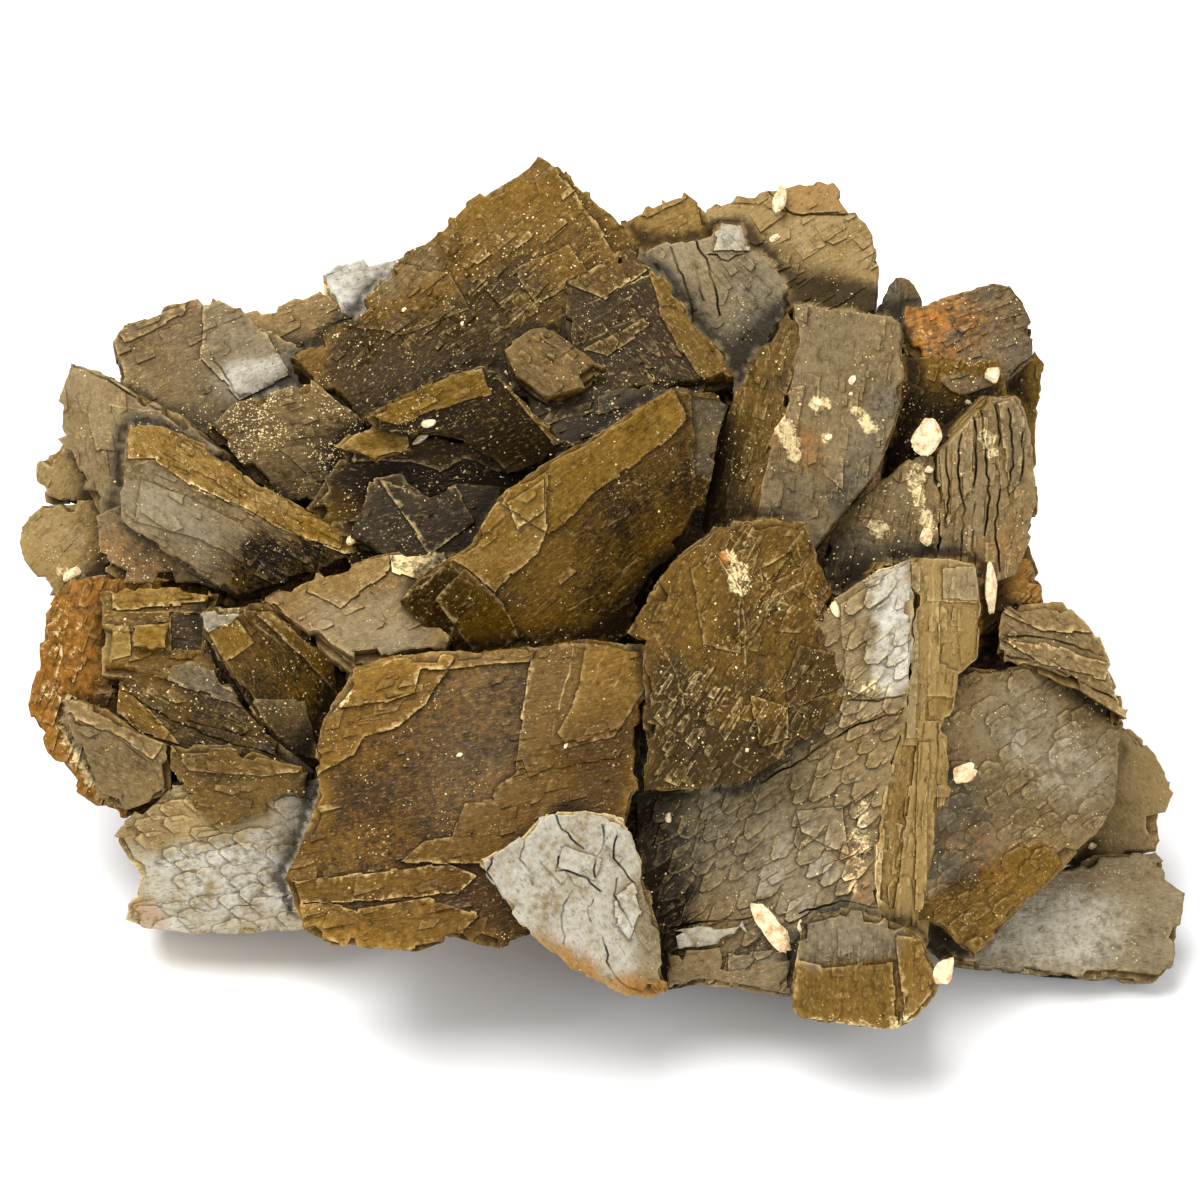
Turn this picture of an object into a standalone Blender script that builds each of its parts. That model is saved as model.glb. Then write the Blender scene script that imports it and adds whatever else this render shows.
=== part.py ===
"""Siderite specimen: a cluster of bladed, rhomb-shaped crystals grown into one another.

The whole cluster is one solid. Each crystal is drawn as the outline of its broad face and is
pushed back into the cluster as a stack of lamellae; one exact union then fuses the stacks with
the broken matrix under them. The cluster is cut flat underneath and rests on that cut. The few
larger grains of cream carbonate that sit on the crystals are solids of their own.

Layout. All sizes are in millimetres and become metres through MM. Faces are laid out on a drawing
plane: it passes through the middle of the cluster and leans back, so that it is looked at square
on from a point EYE_DISTANCE away and VIEW_TILT above the horizon. On it u runs right, v runs up
and depth runs towards the eye. A face is a plane given as (u, v, depth, slope_u, slope_v), and a
`back` vector (u, v, depth) says which way its crystal grows into the cluster and how far.
"""
import math
import random

import bmesh
import bpy
from mathutils import Vector

MM = 0.001
SEED = 41

# Drawing plane
VIEW_TILT = math.radians(42.0)
EYE_DISTANCE = 600.0
VIEW_CENTRE = Vector((0.0, 0.0, 26.0))
RIGHT = Vector((1.0, 0.0, 0.0))
UP = Vector((0.0, math.sin(VIEW_TILT), math.cos(VIEW_TILT)))
OUT = Vector((0.0, -math.cos(VIEW_TILT), math.sin(VIEW_TILT)))

# Moves the cluster so that its origin is under the middle of its bounding box
CENTRING = Vector((0.37, 1.70, 0.0))

# Lamellae: how much a deeper layer may be smaller or larger than the one above it
LAYER_INSET = 0.5
LAYER_OVERLAP = 0.12
LEDGE_INSET = 0.3
LEDGE_ROOT = 0.45

# Grains of cream carbonate
GRAIN_THICKNESS = 1.2

SIDERITE = ("siderite", (0.105, 0.066, 0.024, 1.0), 0.42)
CREAM_CARBONATE = ("cream_carbonate", (0.80, 0.66, 0.42, 1.0), 0.70)


def clear_scene():
    for item in list(bpy.data.objects):
        bpy.data.objects.remove(item, do_unlink=True)


def principled(name, colour, roughness):
    material = bpy.data.materials.new(name)
    material.use_nodes = True
    shader = material.node_tree.nodes["Principled BSDF"]
    shader.inputs["Base Color"].default_value = colour
    shader.inputs["Roughness"].default_value = roughness
    shader.inputs["Metallic"].default_value = 0.0
    return material


# ---------------------------------------------------------------- drawing plane

def seen_at(u, v, depth):
    """World point, in mm, seen at (u, v) on the drawing plane and `depth` in front of it."""
    shrink = 1.0 / (1.0 + depth / EYE_DISTANCE)
    return VIEW_CENTRE + (RIGHT * u + UP * v + OUT * depth) * shrink


def depth_on(face, u, v):
    """Depth of a face plane at (u, v)."""
    face_u, face_v, face_depth, slope_u, slope_v = face
    return face_depth + slope_u * (u - face_u) + slope_v * (v - face_v)


def along_view(vector):
    """World vector, in mm, of a (u, v, depth) vector."""
    return RIGHT * vector[0] + UP * vector[1] + OUT * vector[2]


# ---------------------------------------------------------------- outlines

def centre_of(outline):
    count = len(outline)
    return sum(p[0] for p in outline) / count, sum(p[1] for p in outline) / count


def inset(outline, amount):
    """Outline drawn in towards its centre by about `amount` mm at every corner."""
    centre_u, centre_v = centre_of(outline)
    result = []
    for u, v in outline:
        reach = math.hypot(u - centre_u, v - centre_v)
        keep = max(0.2, 1.0 - amount / reach)
        result.append((centre_u + (u - centre_u) * keep, centre_v + (v - centre_v) * keep))
    return result


def cut_by_line(outline, start, end):
    """Part of the outline on the left of the line from start to end."""
    along_u, along_v = end[0] - start[0], end[1] - start[1]

    def side(point):
        return along_u * (point[1] - start[1]) - along_v * (point[0] - start[0])

    kept = []
    for index, point in enumerate(outline):
        previous = outline[index - 1]
        here, before = side(point), side(previous)
        if (here >= 0.0) != (before >= 0.0):
            share = before / (before - here)
            kept.append((previous[0] + share * (point[0] - previous[0]),
                         previous[1] + share * (point[1] - previous[1])))
        if here >= 0.0:
            kept.append(point)
    return kept


# ---------------------------------------------------------------- solids

def make_object(name, mesh_points, faces, collection):
    """Closed mesh object from points in mm and faces as index tuples."""
    bm = bmesh.new()
    verts = [bm.verts.new((point + CENTRING) * MM) for point in mesh_points]
    for face in faces:
        bm.faces.new([verts[index] for index in face])
    bmesh.ops.recalc_face_normals(bm, faces=bm.faces)
    mesh = bpy.data.meshes.new(name)
    bm.to_mesh(mesh)
    bm.free()
    item = bpy.data.objects.new(name, mesh)
    collection.objects.link(item)
    return item


def prism_faces(count):
    faces = [tuple(range(count)), tuple(range(2 * count - 1, count - 1, -1))]
    for index in range(count):
        after = (index + 1) % count
        faces.append((index, after, count + after, count + index))
    return faces


def slab(name, outline, face, start, stop, collection):
    """Prism between two (u, v, depth) offsets from the outline on its face plane."""
    front = [seen_at(u, v, depth_on(face, u, v)) for u, v in outline]
    points = [point + along_view(start) for point in front]
    points += [point + along_view(stop) for point in front]
    return make_object(name, points, prism_faces(len(outline)), collection)


def share_of(vector, share):
    return tuple(part * share for part in vector)


class Cluster:
    """Collects the lamellae of every crystal, to be fused into one solid."""

    def __init__(self, collection):
        self.collection = collection
        self.chance = random.Random(SEED)

    def crystal(self, name, face, back, outline, layers=2, ledges=()):
        """Stack of lamellae behind a face, with raised ledges (line start, line end, lift)."""
        for layer in range(layers):
            start = layer / layers - (LAYER_OVERLAP if layer else 0.0)
            stop = (layer + 1) / layers
            shrink = self.chance.uniform(0.3, 1.0) * LAYER_INSET if layer else 0.0
            slab(f"{name}_layer_{layer}", inset(outline, shrink), face,
                 share_of(back, start), share_of(back, stop), self.collection)
        for number, (line_start, line_end, lift) in enumerate(ledges):
            plate = inset(cut_by_line(outline, line_start, line_end),
                          self.chance.uniform(0.5, 1.0) * LEDGE_INSET)
            slab(f"{name}_ledge_{number}", plate, face, (0.0, 0.0, lift),
                 share_of(back, LEDGE_ROOT / layers), self.collection)


# ---------------------------------------------------------------- crystals, group by group

# Face planes that carry a loose grain as well as a crystal
FRONT_SCALY_FACE = (17.0, -19.0, 21.0, 0.25, 0.1)
FOOT_FACE = (26.0, -37.0, 24.0, 0.0, 0.2)
RIGHT_LARGE_FACE = (42.0, -20.0, 13.5, -0.35, 0.15)
STRIATED_LEFT_FACE = (33.5, 10.0, 13.0, 0.2, 0.0)
BROWN_BLOCK_FACE = (37.0, 26.0, 4.0, 0.0, -0.3)
BACK_RIGHT_FACE = (18.0, 36.0, -13.0, 0.0, -0.3)


def front_crystals(cluster):
    """The large blades along the front, which overhang the base."""
    cluster.crystal(
        "front_rhomb", (-13.0, -20.0, 22.0, 0.05, -0.15), (0.0, 0.0, -10.0),
        [(-25.1, -6.3), (-20.0, -5.2), (-10.1, -4.9), (-1.2, -3.9), (5.2, -4.3), (4.4, -12.0),
         (3.8, -19.0), (1.0, -30.0), (-10.1, -35.0), (-14.6, -33.9), (-18.4, -35.2),
         (-26.8, -34.6), (-29.7, -33.0), (-31.6, -28.2), (-30.0, -24.0), (-28.1, -18.6),
         (-28.6, -16.1), (-27.8, -11.9), (-25.6, -8.4)],
        layers=3,
        ledges=[((-8.0, -15.0), (-6.9, -6.3), 0.7), ((-20.0, -24.0), (-8.5, -17.0), 0.6),
                ((-30.0, -11.6), (-17.0, -11.0), 0.9)])
    cluster.crystal(
        "grey_scaly", (-1.0, -30.0, 26.5, -0.35, 0.25), (0.3, 0.0, -9.0),
        [(-11.9, -26.0), (-9.5, -24.7), (-7.3, -23.1), (-5.7, -21.2), (-1.5, -21.0),
         (2.6, -21.8), (4.2, -26.3), (6.0, -33.0), (6.8, -39.0), (5.5, -40.0), (2.5, -39.5),
         (-3.1, -37.1), (-8.5, -32.0), (-11.4, -27.5)],
        ledges=[((-7.0, -30.0), (6.0, -27.0), 0.6)])
    cluster.crystal(
        "front_scaly", FRONT_SCALY_FACE, (0.5, 0.0, -12.0),
        [(23.4, 0.2), (25.3, 1.5), (27.9, 3.1), (31.4, 4.2), (31.4, -3.9), (30.6, -11.9),
         (29.2, -16.7), (27.9, -23.1), (27.6, -29.5), (28.5, -32.6), (19.0, -39.8),
         (14.0, -39.0), (10.0, -38.5), (6.8, -39.2), (5.5, -30.0), (5.0, -20.0), (4.0, -14.0),
         (12.0, -7.0), (20.0, -3.0)],
        layers=3,
        ledges=[((31.0, -11.0), (22.0, -13.5), 0.7), ((16.0, -30.0), (26.0, -12.0), 0.6)])
    cluster.crystal(
        "amber_side", (31.4, 4.2, 26.7, -1.3, 0.274), (-5.0, 0.0, -9.0),
        [(31.2, 4.2), (33.0, 4.4), (37.5, 3.7), (38.1, -0.8), (37.8, -5.9), (35.9, -7.5),
         (35.5, -10.3), (34.6, -12.9), (35.1, -16.7), (35.1, -26.3), (34.3, -29.1),
         (33.2, -32.0), (33.0, -38.0), (28.5, -38.0), (28.3, -32.6), (27.4, -29.5),
         (27.7, -23.1), (29.0, -16.7), (30.4, -11.9), (31.2, -3.9)],
        ledges=[((33.2, -30.0), (34.4, 4.0), 0.6)])
    cluster.crystal(
        "foot", FOOT_FACE, (0.0, 0.0, -9.0),
        [(20.0, -32.0), (24.1, -30.8), (27.9, -31.4), (32.4, -33.6), (33.4, -36.2),
         (34.3, -38.4), (33.4, -40.0), (31.8, -41.9), (29.9, -42.9), (25.7, -42.9),
         (20.0, -41.9), (19.2, -41.0), (19.3, -37.5), (19.8, -34.9)],
        ledges=[((18.0, -37.3), (34.0, -36.6), 0.5)])
    cluster.crystal(
        "blue_plate", (11.0, -33.5, 19.0, 0.25, 0.1), (0.0, 0.0, -4.0),
        [(7.5, -33.0), (10.0, -32.6), (15.1, -32.3), (13.9, -33.9), (10.0, -34.9),
         (7.8, -34.9)], layers=1)
    cluster.crystal(
        "under_plate", (10.0, -37.0, 18.3, 0.25, 0.1), (0.0, 0.0, -5.0),
        [(6.7, -35.2), (12.0, -34.8), (12.3, -36.5), (19.0, -36.0), (19.0, -39.4),
         (14.0, -38.6), (10.0, -38.2), (6.8, -38.8)], layers=1)
    cluster.crystal(
        "rough_crystal", (14.0, -5.0, 25.5, 0.0, -0.1), (0.0, 0.0, -10.0),
        [(4.6, -0.1), (5.2, 1.5), (7.8, 4.4), (11.9, 7.9), (15.1, 8.0), (18.3, 8.3),
         (20.5, 7.9), (21.5, 5.6), (23.7, -0.8), (25.3, -8.1), (24.1, -10.3), (22.2, -13.2),
         (16.7, -16.7), (13.9, -18.6), (5.5, -19.0), (5.5, -10.3), (5.2, -4.3), (2.7, -3.3)],
        layers=3,
        ledges=[((15.5, -20.0), (11.0, 9.0), 0.8), ((4.0, -2.0), (24.0, 2.5), 0.7)])


def middle_crystals(cluster):
    """The diagonal blade and the tablets and thin plates around it."""
    cluster.crystal(
        "diagonal_blade", (-3.0, 6.0, 14.0, -0.2, 0.3), (-0.5, 0.0, -6.0),
        [(-20.1, -0.2), (-17.9, 2.4), (-12.8, 5.9), (-10.2, 10.3), (-8.0, 12.2),
         (-2.2, 15.6), (1.6, 18.0), (7.0, 21.0), (11.5, 20.7), (12.9, 19.4), (11.8, 16.4),
         (11.2, 11.9), (10.2, 9.0), (7.7, 4.6), (4.6, 0.4), (3.2, -3.0), (0.0, -6.0),
         (-8.0, -8.0), (-15.0, -6.0)],
        layers=3,
        ledges=[((8.2, 17.3), (-4.8, 6.8), 0.6)])
    cluster.crystal(
        "blade_root", (-2.0, 0.0, 8.0, 0.0, 0.1), (0.0, -6.0, -12.0),
        [(-16.0, -1.0), (-8.0, 8.0), (4.0, 14.0), (9.0, 10.0), (6.0, 0.0), (2.0, -8.0),
         (-12.0, -9.0)], layers=1)
    cluster.crystal(
        "light_tablet", (-25.0, -1.0, 11.0, 0.0, -0.65), (1.0, -5.0, -7.0),
        [(-34.5, -0.1), (-29.4, 2.4), (-26.5, 3.4), (-23.3, 4.4), (-17.6, 5.1),
         (-15.4, 4.7), (-14.0, -1.0), (-15.4, -5.0), (-19.2, -5.5), (-24.9, -6.7),
         (-26.8, -5.2), (-29.7, -2.7), (-33.5, -0.5)],
        ledges=[((-16.0, 1.0), (-33.0, -1.0), 0.6)])
    cluster.crystal(
        "wedge", (-32.0, -8.0, 10.0, -0.35, 0.25), (1.0, 0.0, -8.0),
        [(-40.1, -1.5), (-39.0, -0.6), (-34.5, -0.3), (-32.9, -0.4), (-29.7, -2.7),
         (-26.8, -5.2), (-24.0, -8.0), (-24.0, -15.0), (-28.4, -17.3), (-31.3, -15.1),
         (-33.9, -12.5), (-35.8, -10.0), (-37.7, -7.1), (-39.6, -3.9)],
        ledges=[((-34.0, -12.0), (-34.8, 0.0), 0.5)])
    cluster.crystal(
        "mid_tablet", (-12.0, 18.0, 9.0, -0.1, 0.3), (-0.3, -0.5, -6.0),
        [(-23.8, 18.3), (-19.8, 20.6), (-14.8, 23.0), (-11.5, 23.7), (-10.0, 22.5),
         (-6.7, 18.9), (-2.3, 15.4), (-5.4, 14.0), (-9.2, 12.4), (-12.1, 15.0),
         (-13.7, 16.1), (-16.9, 16.7), (-19.5, 16.4), (-22.0, 17.0)],
        ledges=[((-22.0, 18.0), (-10.8, 21.0), 0.5)])
    cluster.crystal(
        "amber_leaf", (-23.0, 15.5, 7.5, 0.0, -0.1), (0.0, -0.5, -5.0),
        [(-26.7, 15.4), (-24.9, 17.0), (-22.4, 17.5), (-19.2, 16.4), (-18.9, 15.1),
         (-22.4, 13.8), (-25.2, 14.8)], layers=1)
    cluster.crystal(
        "dark_plate_upper", (-18.0, 11.0, 4.5, 0.0, 0.1), (0.0, -3.0, -8.0),
        [(-26.0, 14.6), (-22.0, 17.2), (-13.5, 16.6), (-5.0, 13.5), (-6.0, 8.0),
         (-14.0, 3.5), (-24.0, 2.0), (-29.5, 9.5)],
        ledges=[((-10.0, 13.5), (-24.0, 12.2), 0.6)])
    cluster.crystal(
        "dark_plate_lower", (-17.0, 9.0, 6.6, 0.0, -0.1), (0.0, -3.0, -6.0),
        [(-23.0, 12.2), (-20.0, 12.7), (-17.0, 10.6), (-14.5, 11.7), (-9.8, 11.3),
         (-11.0, 6.0), (-15.0, 3.0), (-20.5, 4.0), (-25.0, 6.5)], layers=1)
    cluster.crystal(
        "bridge_plate", (0.0, 20.0, 6.0, 0.1, -0.3), (0.0, -4.0, -7.0),
        [(-9.6, 25.0), (-1.0, 24.8), (3.5, 22.6), (9.9, 21.0), (8.0, 15.0), (-2.2, 11.0),
         (-7.0, 17.0), (-8.6, 21.0)],
        ledges=[((-6.0, 19.5), (6.0, 20.0), 0.6)])
    cluster.crystal(
        "small_step", (-4.0, 24.0, 7.8, 0.0, -0.2), (0.0, -3.0, -6.0),
        [(-8.8, 26.0), (-7.0, 27.1), (-4.6, 27.8), (-2.9, 26.0), (-1.0, 24.8), (0.6, 23.2),
         (-1.5, 21.2), (-5.4, 20.3), (-8.3, 22.4), (-9.6, 25.0)], layers=1)


def left_crystals(cluster):
    """Blades and fins on the left, with the rusty matrix they stand on."""
    cluster.crystal(
        "left_main", (-36.0, 8.0, 6.5, -0.1, 0.25), (0.5, 0.0, -6.5),
        [(-47.2, 17.5), (-44.1, 17.5), (-39.6, 15.6), (-34.5, 11.9), (-29.4, 9.0),
         (-26.2, 7.1), (-23.0, 4.7), (-26.2, 4.1), (-28.1, 2.8), (-33.5, 0.6),
         (-36.4, 0.0), (-39.6, 2.2), (-45.3, 5.9), (-48.0, 8.0), (-48.2, 12.9)],
        layers=3)
    cluster.crystal(
        "left_main_lower", (-43.0, 4.0, 4.0, 0.0, 0.1), (1.5, -1.0, -6.0),
        [(-50.4, 8.4), (-49.8, 3.0), (-47.6, 1.7), (-40.2, 1.6), (-35.0, 0.2), (-33.0, 6.0),
         (-45.0, 11.0)], layers=1)
    cluster.crystal(
        "left_fin", (-48.0, 15.0, 1.0, 0.3, 0.0), (3.0, -1.0, -5.0),
        [(-53.1, 24.0), (-50.1, 22.9), (-45.2, 20.0), (-42.8, 18.9), (-38.0, 15.0),
         (-38.0, 9.0), (-46.0, 6.0), (-49.8, 7.1), (-52.4, 12.6), (-53.6, 15.4),
         (-54.3, 16.1), (-54.3, 19.9), (-53.6, 22.1)],
        layers=3)
    cluster.crystal(
        "left_lobe_upper", (-53.0, 13.0, -6.0, 0.1, 0.0), (2.0, 0.0, -4.0),
        [(-54.3, 16.4), (-55.5, 14.8), (-56.6, 13.7), (-56.4, 11.9), (-55.9, 9.8),
         (-49.0, 7.5), (-46.5, 10.0), (-47.0, 16.0)], layers=2)
    cluster.crystal(
        "left_lobe_lower", (-54.0, 5.0, -2.5, 0.1, 0.0), (2.0, 0.0, -4.0),
        [(-55.9, 9.9), (-57.5, 8.7), (-58.5, 6.8), (-57.6, 4.0), (-55.1, 0.4), (-51.0, 0.6),
         (-46.0, 3.0), (-46.0, 9.0), (-50.0, 10.0)], layers=2)
    cluster.crystal(
        "golden_lump", (-31.0, 16.0, 2.0, 0.0, 0.2), (0.5, -4.0, -8.0),
        [(-36.4, 19.9), (-32.9, 20.9), (-28.9, 22.1), (-26.5, 20.2), (-23.4, 17.9),
         (-24.0, 13.0), (-27.0, 9.5), (-31.3, 9.0), (-36.1, 13.5), (-40.0, 17.3)],
        ledges=[((-26.0, 16.0), (-37.0, 17.2), 0.5)])
    cluster.crystal(
        "left_block", (-44.0, -2.0, 6.0, 0.0, -0.3), (1.0, -4.0, -6.0),
        [(-50.0, 0.8), (-47.6, 1.5), (-38.3, 1.1), (-39.0, -1.5), (-38.4, -4.0),
         (-37.5, -7.5), (-43.0, -8.0), (-50.0, -7.0)],
        ledges=[((-38.0, -1.2), (-50.0, -1.1), 0.6)])
    cluster.crystal(
        "amber_block", (-45.0, -3.6, 8.2, 0.0, 0.0), (0.0, -1.0, -4.0),
        [(-46.8, -2.5), (-43.1, -2.3), (-43.3, -4.9), (-46.8, -4.7)], layers=1)
    cluster.crystal(
        "dark_slab", (-40.0, -11.0, 8.0, 0.2, 0.0), (1.0, 0.0, -8.0),
        [(-47.9, -5.9), (-40.9, -5.9), (-37.7, -7.1), (-35.1, -11.0), (-32.6, -14.1),
         (-28.1, -17.7), (-33.0, -19.5), (-43.0, -17.5), (-48.5, -12.5)],
        ledges=[((-33.0, -15.0), (-48.0, -9.5), 0.5)])
    cluster.crystal(
        "left_lower_outer", (-48.0, -15.5, 9.0, 0.2, 0.1), (1.0, 0.0, -6.0),
        [(-53.9, -10.0), (-52.0, -10.0), (-49.5, -11.0), (-46.3, -13.2), (-43.4, -14.5),
         (-43.1, -16.7), (-42.8, -19.6), (-47.2, -21.0), (-49.8, -20.5), (-51.4, -16.7),
         (-53.0, -13.2)],
        ledges=[((-43.0, -17.5), (-53.0, -12.0), 0.5)])
    cluster.crystal(
        "left_lower_inner", (-36.0, -18.0, 10.5, 0.1, 0.2), (0.3, 0.0, -7.0),
        [(-43.0, -14.5), (-37.0, -14.5), (-28.8, -17.0), (-29.4, -19.6), (-32.3, -20.8),
         (-35.8, -22.4), (-39.3, -22.6), (-40.2, -21.5), (-42.1, -18.6), (-43.0, -16.8)],
        ledges=[((-30.0, -18.6), (-42.0, -15.8), 0.5)])
    cluster.crystal(
        "pale_apron", (-38.0, -26.0, 8.0, 0.1, 0.15), (0.5, 0.0, -7.0),
        [(-47.7, -22.0), (-48.7, -23.6), (-46.3, -27.5), (-47.6, -32.0), (-45.6, -32.8),
         (-41.0, -33.4), (-37.0, -33.4), (-29.9, -33.1), (-26.0, -30.0), (-26.5, -18.0),
         (-35.0, -17.0), (-43.0, -18.0)],
        ledges=[((-28.0, -26.5), (-46.0, -24.5), 0.6)])
    cluster.crystal(
        "rusty_matrix", (-50.0, -8.0, 3.0, 0.1, 0.0), (4.0, 0.0, -9.0),
        [(-53.6, 2.0), (-54.9, 0.0), (-55.9, -1.4), (-56.2, -6.5), (-57.0, -8.4),
         (-57.5, -10.3), (-57.3, -11.9), (-55.9, -13.5), (-55.4, -15.4), (-52.4, -19.2),
         (-49.5, -21.3), (-47.7, -22.0), (-43.0, -20.0), (-43.0, 2.0), (-48.0, 3.0)],
        layers=3)


def back_crystals(cluster):
    """The tall blades at the back and the slabs behind them."""
    cluster.crystal(
        "peak", (-8.0, 32.0, 1.5, 0.2, -0.3), (0.5, -7.0, -10.0),
        [(-31.0, 24.2), (-24.9, 28.2), (-22.5, 31.5), (-20.1, 34.9), (-17.5, 36.0),
         (-15.6, 37.8), (-13.4, 39.8), (-11.2, 41.3), (-7.3, 43.5), (-6.3, 44.8),
         (-4.5, 43.3), (-3.2, 43.7), (-0.8, 41.1), (1.9, 38.4), (3.4, 35.8), (3.0, 28.0),
         (0.0, 20.0), (-10.0, 18.0), (-23.6, 17.0), (-27.0, 20.3)],
        layers=3,
        ledges=[((-9.0, 19.0), (-16.0, 38.0), 0.6), ((-31.0, 23.5), (3.0, 33.0), 0.7)])
    cluster.crystal(
        "peak_right", (4.0, 27.0, 4.5, 0.1, -0.2), (0.0, -6.0, -8.0),
        [(-3.5, 34.0), (3.4, 35.2), (5.7, 33.0), (8.0, 30.6), (10.2, 27.2), (12.4, 24.7),
         (13.5, 22.3), (9.4, 21.1), (3.2, 20.5), (-4.0, 20.0)],
        ledges=[((9.0, 21.0), (-3.0, 30.5), 0.5)])
    cluster.crystal(
        "back_left_slab", (-40.0, 24.0, -5.5, 0.0, -0.3), (0.5, -8.0, -8.0),
        [(-47.7, 28.2), (-42.8, 29.8), (-38.0, 30.4), (-36.2, 29.5), (-35.0, 28.8),
         (-27.0, 23.0), (-30.0, 16.0), (-39.0, 14.0), (-47.0, 16.0), (-48.2, 23.2),
         (-48.8, 25.8)],
        ledges=[((-31.0, 19.0), (-44.0, 29.0), 0.5)])
    cluster.crystal(
        "back_notch_slab", (-30.0, 27.0, -8.0, 0.0, -0.2), (0.5, -8.0, -7.0),
        [(-36.0, 28.6), (-31.9, 29.6), (-30.0, 30.7), (-28.0, 31.4), (-24.0, 29.0),
         (-24.0, 22.0), (-35.0, 20.0)], layers=2)
    cluster.crystal(
        "clear_flake", (-23.0, 32.0, -9.0, 0.0, -0.2), (0.5, -7.0, -6.0),
        [(-27.8, 31.1), (-27.8, 32.5), (-26.2, 33.5), (-23.3, 34.2), (-18.9, 35.0),
         (-17.0, 32.0), (-19.0, 25.0), (-26.0, 26.0)], layers=2)
    cluster.crystal(
        "grey_block", (12.0, 30.0, -3.5, 0.1, -0.2), (0.5, -8.0, -8.0),
        [(3.0, 34.4), (8.3, 36.5), (12.1, 37.9), (14.0, 37.8), (15.1, 34.9), (16.6, 34.6),
         (18.7, 31.4), (19.5, 29.6), (17.5, 26.0), (14.0, 20.0), (4.0, 22.0)],
        layers=3,
        ledges=[((8.0, 23.0), (15.3, 37.0), 0.6)])
    cluster.crystal(
        "back_yellow_slab", (6.0, 37.5, -11.5, 0.0, -0.3), (0.5, -9.0, -7.0),
        [(2.0, 38.3), (4.0, 39.5), (8.2, 41.2), (9.7, 40.3), (10.9, 39.5), (12.0, 33.0),
         (2.0, 31.0)], layers=2)
    cluster.crystal(
        "back_right_slab", BACK_RIGHT_FACE, (0.5, -10.0, -8.0),
        [(9.0, 38.6), (12.9, 40.3), (16.8, 41.3), (20.9, 42.3), (23.1, 42.1),
         (25.7, 38.9), (27.4, 36.4), (28.0, 33.2), (27.6, 29.3), (25.0, 24.0), (12.0, 26.0)],
        layers=3,
        ledges=[((15.0, 28.0), (20.0, 43.0), 0.6), ((28.0, 36.0), (12.0, 38.0), 0.8)])
    cluster.crystal(
        "small_dark_prism", (29.5, 30.0, -7.5, -0.3, -0.1), (0.5, -6.0, -6.0),
        [(27.4, 29.0), (27.9, 30.9), (29.0, 32.2), (30.1, 32.5), (31.1, 32.2), (32.5, 30.0),
         (33.0, 24.0), (27.0, 24.0)], layers=1)


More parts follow.
